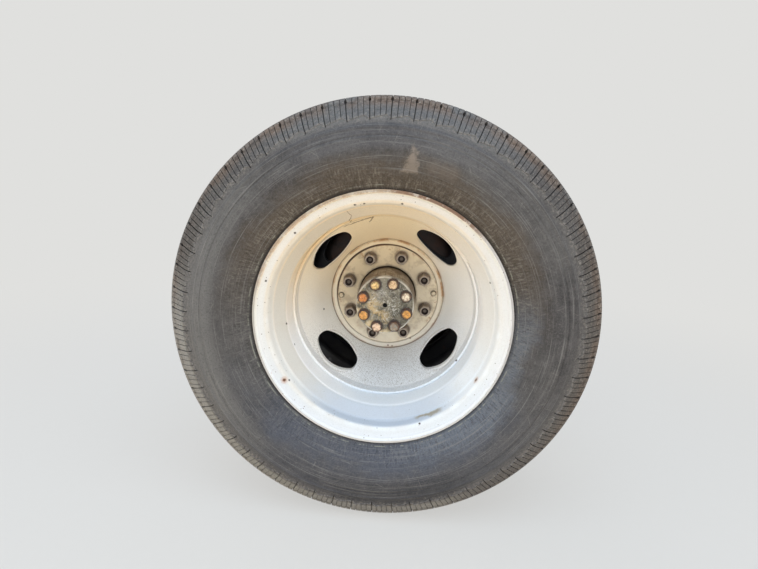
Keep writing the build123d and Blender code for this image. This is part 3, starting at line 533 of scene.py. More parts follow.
def shoulder_dust_and_light(paint, foot):
    """Dust round the shoulder: brown towards the tread, palest low on the left, with a painted shadow at the
    top of the tread band, painted sky light at its bottom and painted shade along the ledge. Gives crumbs,
    pale part.
    """
    patches, over, radius = paint.patches, paint.over, paint.radius
    up = paint.z / radius
    shoulder = rise(radius, 0.321, 0.333)
    crumb = paint.noise(210, 5, 0.8)
    over((95, 92, 91), shoulder * (1 - foot) * 0.65)
    over((118, 119, 121), shoulder * rise(up, 0.72, 0.98) * 0.5)
    brown = rise(radius, 0.344, 0.36) * patches(19, 4, 0.55, 0.3, 0.58)
    over((124, 103, 88), brown * rise(paint.z, -0.34, 0.05) * 0.75)
    tread_band = rise(radius, 0.334, 0.342)
    pale = tread_band * rise(paint.facing(PALE_TURN), 0.3, 0.66)
    over((150, 149, 146), pale * 0.85)
    sideways = paint.math("ABSOLUTE", paint.x)
    # Painted shadow at the top of the tread band
    upper = rise((sideways * 0.866 + paint.z * 0.5) / radius, 0.92, 0.985)
    over((66, 61, 58), upper * tread_band * 0.34)
    # Painted sky light at the bottom of the tread band
    over((134, 136, 144), tread_band * rise(up, -0.9, -0.99) * 0.35)
    over((74, 68, 62), tread_band * (1 - pale) * rise(sideways / radius, 0.8, 0.95) * 0.4)
    outermost = rise(radius, 0.352, 0.362)
    over((168, 159, 148), shoulder * rise(crumb, 0.51, 0.64) * (0.35 + outermost * 0.25))
    over((52, 46, 43), shoulder * rise(crumb, 0.46, 0.33) * 0.45)
    # Painted shade, broken, along the shoulder's step
    ledge_shade = band(radius, 0.3565, 0.3625, 0.0012) * patches(130, 3, 0.7, 0.44, 0.56)
    over((56, 42, 36), ledge_shade * 0.5)
    over((84, 82, 80), rise(radius, 0.3672, 0.369) * 0.7)
    return crumb, pale


def side_scuffs_and_sky_light(paint, near_rim, above, cloud, mottle, fibre):
    """Painted cool sky light by the rim low on the right; short fibres near the rim, strokes in all
    directions, flecks, rings brushed into the side.
    """
    patches, over, radius = paint.patches, paint.over, paint.radius
    fleck = paint.noise(330, 5, 0.85)
    # Painted cool sky light by the rim, low on the right
    over((124, 133, 146), near_rim * rise(paint.facing(SKY_LIGHT_TURN), 0.6, 0.94) * 0.42)
    patchy = patches(16, 4, 0.7, 0.3, 0.56)
    scuff = rise(fibre + fleck * 0.25, 0.62, 0.76) * patchy
    over((145, 140, 130), scuff * near_rim * (0.22 + above * 0.28))
    over((50, 46, 44), rise(fibre, 0.48, 0.36) * near_rim * 0.5)
    side = rise(radius, 0.334, 0.328)
    over((146, 143, 138), paint.hatches(LIGHT_STROKES, 0.64, 0.76) * side * (0.08 + patchy * 0.28))
    over((48, 46, 46), paint.hatches(DARK_STROKES, 0.62, 0.74) * side * 0.3)
    over((124, 121, 119), rise(fleck, 0.52, 0.66) * 0.32)
    over((45, 43, 43), rise(fleck, 0.49, 0.36) * 0.42)
    arcs = paint.streaks(520, 0.03, 120, 5, 0.7)
    over((132, 130, 128), rise(arcs, 0.54, 0.66) * rise(radius, 0.33, 0.322) * 0.5)
    brushed = paint.streaks(300, 0.09, 90, 5, 0.75)
    over((128, 127, 126), rise(brushed, 0.55, 0.66) * rise(cloud, 0.4, 0.6) * 0.36)
    over((156, 154, 150), patches(260, 4, 0.8, 0.66, 0.76) * rise(mottle, 0.45, 0.6) * 0.5)
    return arcs


def rim_root(paint):
    """Painted shade at the side's root by the rim, darker on the left, a dark line of painted shade in the
    gap at the rim, and a broken light line outside it.
    """
    over, radius = paint.over, paint.radius
    left = rise(paint.x / radius, 0.1, -0.8)
    # Painted shade where the side meets the rim, and in the gap
    over((64, 60, 58), rise(radius, 0.2272, 0.2252) * (0.3 + left * 0.45))
    over((24, 18, 14), rise(radius, 0.2214, 0.22) * 0.9)
    dashes = rise(paint.streaks(60, 0.35, 10, 3, 0.7), 0.46, 0.6)
    over((150, 150, 138), band(radius, 0.2283, 0.23, 0.0006) * dashes * 0.65)


def pale_scuffs(paint, mottle):
    """The two pale scuffs at the top of the outer side."""
    inside = paint.least([paint.aside(*ends) for ends in zip(SCUFF, SCUFF[1:] + SCUFF[:1])])
    feather = paint.noise(110, 4, 0.75)
    wavy = inside + (mottle - 0.5) * 0.02 + (feather - 0.5) * 0.016
    paint.over((146, 135, 125), rise(wavy, -0.002, 0.006) * (0.3 + feather * 0.7))
    paint.over((116, 105, 96), paint.near(FAR_SCUFF, 0.01, 0.9) * 0.4)


def tyre_rubber(outboard):
    """Dusty rubber, brown above, cool below with painted sky light, with dark sipes in painted shade and
    rubbed edges with a painted highlight.
    """
    paint = Paint("tyre_rubber_outer" if outboard else "tyre_rubber_inner", specular=0.25)
    noise, over, radius, z = paint.noise, paint.over, paint.radius, paint.z
    cloud = noise(9, 4, 0.65)
    mottle = noise(42, 6, 0.75)
    fibre = paint.streaks(95, 1.5, 10, 5, 0.72)
    ragged = radius + (cloud - 0.5) * 0.08 + (fibre - 0.5) * 0.03 + (mottle - 0.5) * 0.03

    paint.base((64, 62, 63), (84, 82, 82), rise(mottle, 0.36, 0.64))
    over((100, 98, 97), paint.patches(4, 3, 0.6, 0.42, 0.66) * 0.45)
    inner_part = rise(ragged, 0.29, 0.246)
    below = rise(z + cloud * 0.16, 0.02, -0.2)
    above = rise(z + cloud * 0.2, 0.02, 0.26)
    # Painted cool sky light on the lower part
    over((82, 87, 99), below * (0.35 + inner_part * 0.55))
    over((88, 77, 65), inner_part * above * 0.75)
    left = rise(paint.x / radius, -0.45, -1.0) * rise(radius, 0.275, 0.3)
    over((118, 117, 116), left * 0.6)
    upper_side = band(radius, 0.288, 0.333, 0.006)
    foot = rise(paint.facing(FOOT_TURN), 0.86, 0.99) * upper_side
    over((52, 52, 54), foot * 0.5)
    over((110, 112, 120), upper_side * rise(z / radius, 0.72, 0.98) * 0.22)

    crumb, pale = shoulder_dust_and_light(paint, foot)
    near_rim = rise(ragged, 0.268, 0.24)
    arcs = side_scuffs_and_sky_light(paint, near_rim, above, cloud, mottle, fibre)
    rim_root(paint)
    if outboard:
        pale_scuffs(paint, mottle)
    # Rubbed edges with a painted highlight
    over((146, 144, 141), paint.attribute("worn") * paint.patches(150, 4, 0.8, 0.42, 0.62) * 0.52)
    # Painted shade inside sipes, notches and grooves, by their depth
    cut = rise(paint.attribute("cut"), 0.1, 0.75)
    over((48, 45, 43), cut * (0.55 + crumb * 0.4) * (1 - pale * 0.35))

    paint.bump(paint.math("SINE", paint.angle * (pi / 180 * SERRATIONS)) * near_rim, 0.0003, 0.2)
    paint.bump(noise(1500, 2, 0.6), 0.00025, 0.6)
    paint.bump(mottle, 0.0014, 0.4)
    paint.bump(arcs, 0.0005, 0.3)
    return paint.done(roughness=0.66 + mottle * 0.2)


def iron(name, light, dark, rust, share):
    """Cast or forged iron with a rust film."""
    paint = Paint(name)
    patch = paint.patches(34, 6, 0.7, 0.4, 0.66)
    fine = paint.noise(240, 5, 0.7)
    paint.base(dark, light, fine)
    paint.over(rust, patch * share)
    paint.bump(fine, 0.0008, 0.6)
    paint.bump(paint.noise(1100, 2), 0.0002, 0.5)
    return paint.done(roughness=0.55 + fine * 0.3)


def nut_steel():
    """Dull dark steel of nuts and studs: light chamfers of rubbed steel with a painted highlight, brown film,
    painted shade in the bores.
    """
    paint = Paint("nut_steel", metallic=0.35)
    film = paint.patches(150, 4, 0.7, 0.35, 0.65)
    paint.base((104, 93, 84), (138, 124, 110), film)
    rub = 0.45 + paint.noise(210, 4, 0.8) * 0.75
    # Rubbed chamfers and ends with a painted highlight
    paint.over((186, 174, 162), paint.attribute("worn") * rub)
    # Painted shade in the nuts' bores and on the studs inside them
    paint.over((34, 20, 15), paint.attribute("bore_shade"))
    paint.bump(paint.noise(700, 3), 0.0002, 0.6)
    return paint.done(roughness=0.46 + film * 0.2)


# Tops of the flange bolts by angle, starting at BOLT_TURN + 22.5 degrees
BOLT_TOPS = (
    (238, 226, 206), (226, 196, 156), (236, 204, 138), (214, 136, 74),
    (230, 170, 94), (236, 206, 178), (140, 136, 126), (226, 164, 84),
)


def bolt_steel():
    """Plated bolt heads, each top with its own patina, sides dark."""
    paint = Paint("flange_bolt_plating")
    ramp = paint.add("ShaderNodeValToRGB", paint.math("FRACT", (paint.angle - BOLT_TURN) / 360 + 1.0))
    ramp.color_ramp.interpolation = "CONSTANT"
    stops = ramp.color_ramp.elements
    for number, shade in enumerate(BOLT_TOPS):
        start = number / len(BOLT_TOPS)
        stop = stops[number] if number < 2 else stops.new(start)
        stop.position = start
        stop.color = linear(*shade)
    blotch = paint.patches(180, 5, 0.75, 0.44, 0.6)
    paint.base(ramp.outputs["Color"], (142, 94, 54), blotch * 0.6)
    pale = paint.patches(230, 4, 0.75, 0.55, 0.68)
    paint.over((246, 226, 190), pale * 0.6)
    pits = rise(paint.cells(330), 0.16, 0.08)
    paint.over((70, 44, 30), pits * 0.7)
    ragged = paint.bolt_gap(FLANGE_BOLT_CIRCLE) + (paint.noise(125, 3, 0.7) - 0.5) * 0.016
    paint.over((104, 82, 66), rise(ragged, 0.0062, 0.008) * 0.8)
    side = paint.mix((72, 60, 58), (100, 74, 58), blotch)
    front = rise(paint.y, FLANGE_FACE_Y - 0.009, FLANGE_FACE_Y - 0.0095)
    paint.colour = paint.mix(side, paint.colour, front)
    paint.bump(paint.noise(500, 4), 0.0003, 0.7)
    return paint.done(roughness=0.45 + blotch * 0.2)


# Places on the driving flange: cream patches of grease and white scratches, X and Z
CREAM_SPOTS = ((-0.0525, -0.014), (-0.05, -0.019), (0.004, -0.053), (-0.008, -0.0535), (-0.03, -0.038))
PALE_SCRATCHES = (
    ((0.0130, -0.0020), (0.0210, 0.0005)), ((0.0170, -0.0090), (0.0225, -0.0060)),
    ((-0.0250, 0.0090), (-0.0200, 0.0130)),
)
FLANGE_STROKES = ((18, 420, 90), (74, 380, 80), (131, 400, 100))


def shaft_steel():
    """Machined driving flange: dark grey-green, greasy yellow film low on the left, pale scratches."""
    paint = Paint("drive_flange_steel", metallic=0.2, specular=0.45)
    noise, over = paint.noise, paint.over
    mottle = noise(48, 4, 0.7)
    fine = noise(300, 4, 0.8)
    paint.base((86, 82, 70), (140, 133, 116), rise(mottle, 0.38, 0.62))
    over((158, 152, 138), rise(fine, 0.52, 0.66) * 0.15)
    over((60, 58, 50), rise(fine, 0.47, 0.36) * 0.25)
    smear = paint.near(((-0.02, FLANGE_FACE_Y, 0.006), (-0.012, FLANGE_FACE_Y, 0.022)), 0.011, 0.8)
    over((176, 172, 162), smear * 0.5)
    grease_side = rise(paint.x + paint.z * 0.8, 0.012, -0.03)
    grease = paint.patches(60, 4, 0.7, 0.42, 0.58) * grease_side
    over((196, 168, 118), grease * 0.85)
    pale_marks = paint.patches(170, 3, 0.6, 0.6, 0.65)
    over((200, 195, 182), pale_marks * 0.45)
    dark_marks = paint.patches(155, 3, 0.6, 0.41, 0.36)
    over((66, 54, 42), dark_marks * 0.55)
    dark_side = rise(paint.x - paint.z * 0.6, -0.01, 0.045)
    over((84, 82, 70), dark_side * 0.4)
    # Painted shade in a ring round each bolt's foot
    shade_ring = rise(paint.bolt_gap(FLANGE_BOLT_CIRCLE) + mottle * 0.005, 0.0175, 0.0135)
    over((46, 40, 38), shade_ring * 0.8)
    cream = paint.near([(spot[0], FLANGE_FACE_Y, spot[1]) for spot in CREAM_SPOTS], 0.0052, 0.5)
    over((226, 206, 166), cream * 0.75)
    inner = rise(paint.radius, 0.038, 0.024)
    flakes = paint.hatches(FLANGE_STROKES, 0.58, 0.68)
    over((206, 203, 196), flakes * (0.22 + inner * 0.4))
    for start, end in PALE_SCRATCHES:
        over((218, 216, 210), paint.scratch(start, end, 0.0015) * 0.55)
    edge = band(paint.radius, 0.053, 0.0556, 0.0007)
    edge_on = paint.patches(40, 3, 0.55, 0.36, 0.6)
    over((224, 220, 210), edge * (0.25 + edge_on * 0.7))
    # Painted shade of the centre hole
    centre = rise(paint.radius, 0.0052, 0.0036)
    over((28, 26, 24), centre)
    paint.bump(mottle, 0.0006, 0.6)
    paint.bump(flakes, 0.0003, 0.5)
    return paint.done(roughness=0.36 + mottle * 0.25)


def hub_iron():
    """Hub nose: brown-grey iron, paler at the top, painted shade at its root."""
    paint = Paint("hub_nose_iron")
    fine = paint.noise(180, 5, 0.7)
    patch = paint.patches(40, 5, 0.7, 0.38, 0.64)
    paint.base((128, 112, 96), (162, 148, 130), fine)
    paint.over((100, 68, 50), patch * 0.42)
    upper = rise(paint.z, 0.02, 0.055) * paint.patches(70, 3, 0.55, 0.4, 0.6)
    paint.over((190, 180, 160), upper * 0.65)
    streak = paint.streaks(0, 0.35, 6, 4, 0.7)
    paint.over((80, 72, 68), rise(streak, 0.52, 0.62) * 0.5)
    # Painted shade at the nose's root
    root = rise(paint.y, -0.662, -0.65)
    paint.over((30, 22, 18), root * 0.9)
    paint.bump(fine, 0.0008, 0.6)
    return paint.done(roughness=0.5 + fine * 0.25)


def rubber_plain():
    """Black moulded rubber."""
    paint = Paint("moulded_rubber", specular=0.35)
    mottle = paint.noise(120, 4, 0.6)
    paint.base((34, 34, 35), (58, 56, 54), mottle)
    paint.bump(paint.noise(900, 2), 0.0002, 0.5)
    return paint.done(roughness=0.6 + mottle * 0.2)


def axle_paint():
    """Black chassis paint with road dust on what faces up."""
    paint = Paint("axle_black_paint")
    normal = paint.add("ShaderNodeNewGeometry").outputs["Normal"]
    upward = Value(paint, paint.add("ShaderNodeSeparateXYZ", normal).outputs[2])
    dust = paint.patches(30, 5, 0.65, 0.3, 0.75)
    rust = paint.patches(44, 6, 0.7, 0.58, 0.7)
    paint.base((40, 40, 42), (96, 88, 76), dust * (0.25 + rise(upward, 0.1, 1.0) * 0.5))
    paint.over((100, 62, 38), rust * 0.75)
    paint.bump(paint.noise(420, 4), 0.0005, 0.5)
    return paint.done(roughness=0.5 + dust * 0.3)


# Meshes

def rounded(rows, steps=5):
    """Points of an open line through rows of x, y and corner radius."""
    points = [np.array(row[:2], float) for row in rows]
    line = [points[0]]
    for before, here, after, row in zip(points, points[1:], points[2:], rows[1:]):
        into = here - before
        away = after - here
        room = 0.49 * min(np.linalg.norm(into), np.linalg.norm(away))
        into = into / np.linalg.norm(into)
        away = away / np.linalg.norm(away)
        half = 0.5 * np.arccos(np.clip(into @ away, -1, 1))
        reach = min(row[2] * tan(half), room)
        if reach < 1e-6:
            line.append(here)
            continue
        for share in np.linspace(0, 1, steps + 1):
            line.append((1 - share) ** 2 * (here - reach * into) + 2 * share * (1 - share) * here
                        + share ** 2 * (here + reach * away))
    line.append(points[-1])
    return np.array(line)


def new_object(name, data):
    """An object linked to the scene."""
    made = bpy.data.objects.new(name, data)
    bpy.context.scene.collection.objects.link(made)
    return made


def make_mesh(name, grids, sharp, **attributes):
    """One object from grids of points (rows, columns, 3), each closed round its columns."""
    points, faces = [], []
    start = 0
    for grid in grids:
        rows, columns = grid.shape[:2]
        index = start + np.arange(rows * columns).reshape(rows, columns)
        after = np.roll(index, -1, axis=1)
        faces.append(np.stack([index[:-1], after[:-1], after[1:], index[1:]], -1).reshape(-1, 4))
        points.append(grid.reshape(-1, 3))
        start += rows * columns
    points = np.concatenate(points)
    mesh = bpy.data.meshes.new(name)
    mesh.from_pydata(points.tolist(), [], np.concatenate(faces).tolist())
    for key, values in attributes.items():
        layer = mesh.attributes.new(key, "FLOAT", "POINT")
        layer.data.foreach_set("value", np.concatenate([v.reshape(-1) for v in values]).astype(np.float32))
    mesh.validate()
    mesh.shade_smooth()
    mesh.set_sharp_from_angle(angle=radians(sharp))
    return new_object(name, mesh)


def around(columns):
    """Angles of a closed grid's columns, in radians."""
    return np.linspace(0, 2 * pi, columns, endpoint=False)


def circles(radius, y, turn, middle=(0.0, 0.0)):
    """Points round a middle in X and Z; radius in millimetres, middle and y in metres."""
    x = middle[0] + radius * MM * np.cos(turn)
    z = middle[1] + radius * MM * np.sin(turn)
    return np.stack(np.broadcast_arrays(x, y, z), -1)


def run_length(line):
    """Distance along a line to each of its points."""
    return np.concatenate([[0], np.cumsum(np.linalg.norm(np.diff(line, axis=0), axis=1))])


# Tyre section from the bead's toe to the crown; rows are radius, distance from the middle, corner
TYRE_OUTSIDE = (
    (201.5, 54.0, 0.0), (203.1, 72.3, 7.0), (215.6, 77.0, 4.0), (226.1, 84.5, 8.0),
    (245.1, 99.5, 50.0), (275.0, 111.5, 85.0), (305.0, 111.5, 100.0), (338.0, 103.5, 9.0),
    (368.8, 76.0, 9.0), (372.0, 24.0, 80.0), (372.0, 0.0, 0.0),
)
TYRE_INSIDE = (
    (355.0, 58.0, 0.0), (330.0, 95.5, 20.0), (290.0, 102.5, 120.0), (249.1, 89.5, 40.0), (218.1, 61.0, 0.0),
)
# Hidden rows that close the carcass and the tread; radius, distance from the middle
CARCASS_TOP = ((334.0, 96.0), (350.0, 80.0), (358.5, 60.0))
TREAD_UNDERSIDE = ((345, -84), (357, -60), (357, 60), (345, 84), (324, 97))
TYRE_HALF_WIDTH = 111.45
CARCASS_COLUMNS = 360
SIDE_TOP = 328.0
CROWN_START = 330.0

# Rings moulded on the side: radius, half width of the top, height; their flanks are a share of it
SIDE_RINGS = ((228.5, 1.2, 0.7), (255.0, 1.0, 0.6), (302.0, 1.6, 0.9), (306.0, 0.9, -0.7), (319.5, 2.2, 0.7))
RING_FLANK = 0.6

# Tread: pitches round the tyre, each with a main cut and three sipes
PITCHES = 60
CUTS = 4
UNEVEN = 0.25
SIPE_WIDTH = 1.2
MAIN_WIDTH = 1.7
NOTCH_WIDTH = 4.2
SIPE_DEPTH = 1.6
MAIN_DEPTH = 3.0
NOTCH_DEPTH = 5.0
GROOVE_DEPTH = 9.0
STEP = 0.8
# Share of a cut's width at its bottom, and of its place in the pitch between its two edges
BOTTOM_WIDTH = 0.72
EDGE_SHARE = 0.12
# Saw-tooth line between side and shoulder, in radius
LINE_LOW = 331.0
LINE_HIGH = 338.5
# Cuts lean by so many degrees over 10 mm, on the middle rib and, the other way, on the ribs beside it
LEAN = 1.3
MIDDLE_RIB = 20
SIDE_RIB_MIDDLE = 30
LEANING_PART = 48.1
# Depth that counts as a full cut in the material's painted shade, and the share in grooves
FULL_CUT = 2.2
GROOVE_CUT = 0.55


def plain_rows(how, places):
    """Tread rows that only sipes and main cuts cross."""
    return [(how, place, 1, 1, 0, 0, 0) for place in places]


def tread_rows():
    """Rows from side to middle: kind, place, thin sipes, main cuts, extra depth, notch, edge wear and painted
    highlight.
    """
    rows = [("radius", 326.8, 0, 0, STEP, 0, 0), ("radius", 328.6, 0, 0, STEP, 0, 0),
            ("radius", 329.2, 0, 1, STEP, 0, 0.2), ("line", -0.5, 0, 1, STEP, 0, 0.2),
            ("line", 0.4, 0, 1, 0, 0, 1), ("line", 1.4, 1, 1, 0, 0, 0.8), ("line", 3.2, 1, 1, 0, 0, 0)]
    rows += plain_rows("radius", (342.0, 348.0, 354.0, 359.0))
    rows += [("radius", 359.5, 1, 1, 0, 1, 0), ("radius", 364.4, 1, 1, 0, 1, 0.2),
             ("radius", 365.8, 1, 1, 0, 0, 0.8), ("place", 77.2, 1, 1, 0, 0, 0.7)]
    rows += plain_rows("place", (74.6, 71.5, 66.0, 57.0, 48.2))
    for outer, inner, next_places in ((48.0, 40.0, (34.5, 25.0, 19.7)), (19.5, 11.5, (6.0,))):
        rows += [("place", place, 0, 0, GROOVE_DEPTH, 0, 0) for place in (outer - 0.2, inner + 0.2)]
        rows += [("place", inner, 1, 1, 0, 0, 0.3)] + plain_rows("place", next_places)
    return rows


def tread_columns(seed):
    """Edges and bottoms of all cuts: degree, kind (1 sipe, 2 main), place in the pitch, side, main or not."""
    chance = np.random.default_rng(seed)
    pitch = 360 / PITCHES
    uneven = chance.uniform(-UNEVEN, UNEVEN, PITCHES)
    columns = []
    for number in range(PITCHES):
        for sipe in range(CUTS):
            main = sipe == 0
            middle = (number + sipe / CUTS) * pitch + uneven[number] * (1.0 if main else 0.5)
            for edge, bottom in ((-1, 0), (-1, 1), (1, 1), (1, 0)):
                columns.append((middle, bottom * (2 if main else 1), (sipe + EDGE_SHARE * (edge + 1)) / CUTS,
                                edge * (BOTTOM_WIDTH if bottom else 1.0), main))
    return np.array(columns).T


def tyre_tread(name, middle_y, seed):
    """Tread and shoulders: notches, sipes, the saw-tooth step to the side, four grooves."""
    line = rounded(TYRE_OUTSIDE)
    slope = np.gradient(line, axis=0)
    normal = np.stack([-slope[:, 1], slope[:, 0]], 1) / np.linalg.norm(slope, axis=1)[:, None]
    length = run_length(line)
    crown = line[:, 0] > CROWN_START
    degree, kind, where, edges, mains = tread_columns(seed)
    saw = LINE_LOW + np.where(mains, 0.0, (LINE_HIGH - LINE_LOW) * (1 - where))

    rows = tread_rows()
    grid, cut, worn = [], [], []
    for (how, place, thin, main, extra, notch, edge_wear_and_highlight), side in (
            [(row, 1) for row in rows] + [(row, -1) for row in reversed(rows)]):
        if how == "place":
            at = np.full(len(degree), np.interp(-place, -line[crown, 1], length[crown]))
        else:
            at = np.interp(saw + place if how == "line" else np.full(len(degree), place), line[:, 0], length)
        radius, across, out_radius, out_across = [
            np.interp(at, length, values) for values in (line[:, 0], line[:, 1], normal[:, 0], normal[:, 1])]
        width = np.where(mains, NOTCH_WIDTH if notch else MAIN_WIDTH, SIPE_WIDTH) / 2
        slant = 0.0
        if how == "place" and place < LEANING_PART:
            slant = LEAN * (place - SIDE_RIB_MIDDLE) / 10 if place > MIDDLE_RIB else -LEAN * place / 10
        turn = np.radians(degree + slant * side) + edges * width / radius
        depth = (kind == 1) * thin * SIPE_DEPTH
        depth = depth + (kind == 2) * main * (NOTCH_DEPTH if notch else MAIN_DEPTH)
        sunk = np.maximum(depth, extra if extra > STEP else depth + extra)
        y = middle_y - side * (across - sunk * out_across) * MM
        grid.append(circles(radius - sunk * out_radius, y, turn))
        cut.append(np.minimum(depth / FULL_CUT, 1.0) if extra <= STEP else np.full(len(degree), GROOVE_CUT))
        worn.append(np.where(kind > 0, 0.0, edge_wear_and_highlight))
    for radius, across in TREAD_UNDERSIDE:
        grid.append(circles(radius, middle_y + across * MM, np.radians(degree)))
        cut.append(np.zeros(len(degree)))
        worn.append(np.zeros(len(degree)))
    return make_mesh(name, [np.array(grid)], 28, cut=cut, worn=worn)


def tyre_carcass(name, middle_y):
    """Both sides and the inside of the tyre as one closed section, rings moulded on the sides."""
    line = rounded(TYRE_OUTSIDE, steps=8)
    length = run_length(line)
    foot = 1 + RING_FLANK
    at = list(length[line[:, 0] < SIDE_TOP])
    at += list(np.interp((SIDE_TOP - 7.0, SIDE_TOP - 5.0, SIDE_TOP - 1.0, SIDE_TOP), line[:, 0], length))
    for ring, half, _ in SIDE_RINGS:
        at += [np.interp(ring, line[:, 0], length) + shift * half for shift in (-foot, -1.0, 0.0, 1.0, foot)]
    at = np.array(sorted(at))
    radius = np.interp(at, length, line[:, 0])
    across = np.interp(at, length, line[:, 1])
    proud = np.zeros(len(at))
    for ring, half, height in SIDE_RINGS:
        gap = np.abs(at - np.interp(ring, line[:, 0], length)) / half
        proud += height * np.clip((foot - gap) / RING_FLANK, 0, 1)
    # The side steps down below its top, then dives under the tread's edge
    above_step = radius - SIDE_TOP + 7.0
    proud -= STEP * np.clip(above_step / 2.0, 0, 1) + 1.5 * np.clip(above_step - 6.0, 0, 1)
    outside = np.stack([radius, np.minimum(across + proud, TYRE_HALF_WIDTH)], 1)
    inside = rounded(TYRE_INSIDE)
    half = np.concatenate([outside, CARCASS_TOP])
    loop = np.concatenate([half, half[::-1] * [1, -1], inside[::-1] * [1, -1], inside, half[:1]])
    grid = circles(loop[:, :1], middle_y - loop[:, 1:] * MM, around(CARCASS_COLUMNS))
    plain = [np.zeros(grid.shape[:2])]
    return make_mesh(name, [grid], 40, cut=plain, worn=plain)


# Fasteners, in millimetres
HEX_COLUMNS = 48
STUD_COLUMNS = 24
PIN_COLUMNS = 28
NUT_FLATS = 20.6
BOLT_FLATS = 19.0
STUD_HEAD = 6.0
THREAD_START = 38.0
THREAD_PITCH = 1.5
THREADS = 19


def hexagon(flats):
    """Distance from centre to edge of a hexagon, by column."""
    return flats / 2 / np.cos(np.mod(around(HEX_COLUMNS), pi / 3) - pi / 6)


def spins(seed):
    """Turns at which the eight hexagons of a circle stand, in radians."""
    chance = np.random.default_rng(seed)
    return [chance.uniform(0, pi / 3) for _ in NUT_ANGLES]


def fasteners(name, rows, columns, sharp, circle, angles, face_y, turns, *keys):
    """Fasteners on a bolt circle; rows are radius, depth outboard of face_y and a share for each key."""
    grids = []
    for angle, turn in zip(angles, turns):
        middle = on_circle(circle, angle)
        grids.append(np.array([circles(row[0], face_y - row[1] * MM, around(columns) + turn, middle)
                               for row in rows]))
    shares = {key: [np.array([np.full(columns, row[number]) for row in rows])] * len(grids)
              for number, key in enumerate(keys, 2)}
    return make_mesh(name, grids, sharp, **shares)


def lug_nuts():
    """Swivel-washer nuts: round washer, hexagon with conical end, open bore."""
    side = hexagon(NUT_FLATS)
    cone = 26.4 - np.maximum(side - 9.4, 0) * 0.9
    rows = (
        (6.7, 0.0, 0, 1), (13.2, 0.0, 0, 0), (13.5, 0.5, 0.2, 0), (13.5, 2.2, 0.55, 0), (12.6, 3.4, 0.6, 0),
        (12.1, 4.0, 0.1, 0), (side, 4.6, 0, 0), (side, cone - 0.3, 0.25, 0), (side - 0.25, cone, 0.75, 0),
        (9.2, 26.6, 0.9, 0), (8.7, 27.0, 1, 0), (7.6, 27.0, 0.8, 0), (6.8, 26.2, 0.2, 0.6),
        (6.7, 24.0, 0, 1), (6.7, 0.0, 0, 1),
    )
    return fasteners("lug_nuts_detailed", rows, HEX_COLUMNS, 28, STUD_CIRCLE, NUT_ANGLES, DISC_FACE_Y,
                     spins(7), "worn", "bore_shade")


def wheel_studs():
    """Studs with rolled threads and a chamfered, dimpled end; depths from the back of the head."""
    rows = [(0.01, 0.0, 0), (10.5, 0.0, 0), (10.5, 6.0, 0), (7.1, 6.0, 0), (7.1, 36.0, 0)]
    for number in range(THREADS):
        foot = THREAD_START + number * THREAD_PITCH
        rows += [(6.0, foot, 0), (6.6, foot + THREAD_PITCH / 2, 0)]
    rows += [(5.6, 66.5, 0.0), (4.2, 66.5, 0.05), (2.8, 66.0, 0.55), (0.01, 65.6, 0.65)]
    rows = [(radius, depth - STUD_HEAD, worn, 1.0 - 0.5 * worn) for radius, depth, worn in rows]
    return fasteners("wheel_studs_threaded", rows, STUD_COLUMNS, 50, STUD_CIRCLE, NUT_ANGLES, HUB_BACK_Y,
                     [0.0] * 8, "worn", "bore_shade")


def flange_bolts():
    """Hexagon bolts of the driving flange with washer faces and conical chamfers."""
    side = hexagon(BOLT_FLATS)
    cone = 9.4 - np.maximum(side - 8.4, 0) * 0.75
    rows = (
        (0.01, -34.0), (5.6, -34.0), (6.35, -33.2), (6.35, 0.05), (11.2, 0.05), (11.4, 0.5), (11.2, 1.9),
        (10.6, 2.1), (side, 2.15), (side, cone - 0.25), (side - 0.2, cone), (8.1, 9.5), (7.8, 9.6),
        (3.4, 9.6), (0.01, 9.45),
    )
    return fasteners("flange_bolts_detailed", rows, HEX_COLUMNS, 28, FLANGE_BOLT_CIRCLE, NUT_ANGLES,
                     FLANGE_FACE_Y, spins(11))


def locating_pins():
    """Two painted pins with domed ends."""
    rows = ((0.01, -16.0), (4.0, -16.0), (4.0, 0.1), (4.4, 0.3), (4.4, 3.2), (4.0, 4.0), (2.8, 4.6),
            (0.01, 4.8))
    return fasteners("locating_pins_domed", rows, PIN_COLUMNS, 50, PIN_CIRCLE, PIN_ANGLES, DISC_FACE_Y,
                     [0.0] * 2)


def pin_paint():
    """Cream paint on the pins' ends, darker at the foot."""
    paint = Paint("pin_cream_paint", specular=0.5)
    mottle = paint.noise(300, 4, 0.7)
    paint.base((226, 214, 192), (204, 186, 156), mottle)
    foot = rise(paint.y, DISC_FACE_Y - 0.003, DISC_FACE_Y)
    paint.over((120, 100, 78), foot * 0.8)
    paint.bump(mottle, 0.0003, 0.4)
    return paint.done(roughness=0.34 + mottle * 0.1)


def dress(piece, body, slot, material, *replaced):
    """Let a new piece ride, replace its CAD nodes and take its material."""
    piece.data.materials.append(material)
    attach(piece, body)
    if replaced:
        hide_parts(*replaced)


def paint_node(name, material):
    """Give a CAD node this material."""
    for slot in nodes[name].material_slots:
        slot.material = material
    if not nodes[name].material_slots:
        nodes[name].data.materials.append(material)


# Studio

def camera():
    """The photograph's camera."""
    yaw, pitch, roll = radians(-2.90), radians(11.99), radians(3.0)
    forward = Vector((sin(yaw) * cos(pitch), cos(yaw) * cos(pitch), -sin(pitch)))
    right = Vector((cos(yaw), -sin(yaw), 0.0))
    up = right.cross(forward)
    across = cos(roll) * right + sin(roll) * up
    above = -sin(roll) * right + cos(roll) * up
    data = bpy.data.cameras.new("camera")
    data.lens = 26.6
    data.sensor_width = 36.0
    made = new_object("camera", data)
    made.matrix_world = Matrix((across, above, -forward)).transposed().to_4x4()
    made.location = (0.039, -1.777, 0.259)
    bpy.context.scene.camera = made


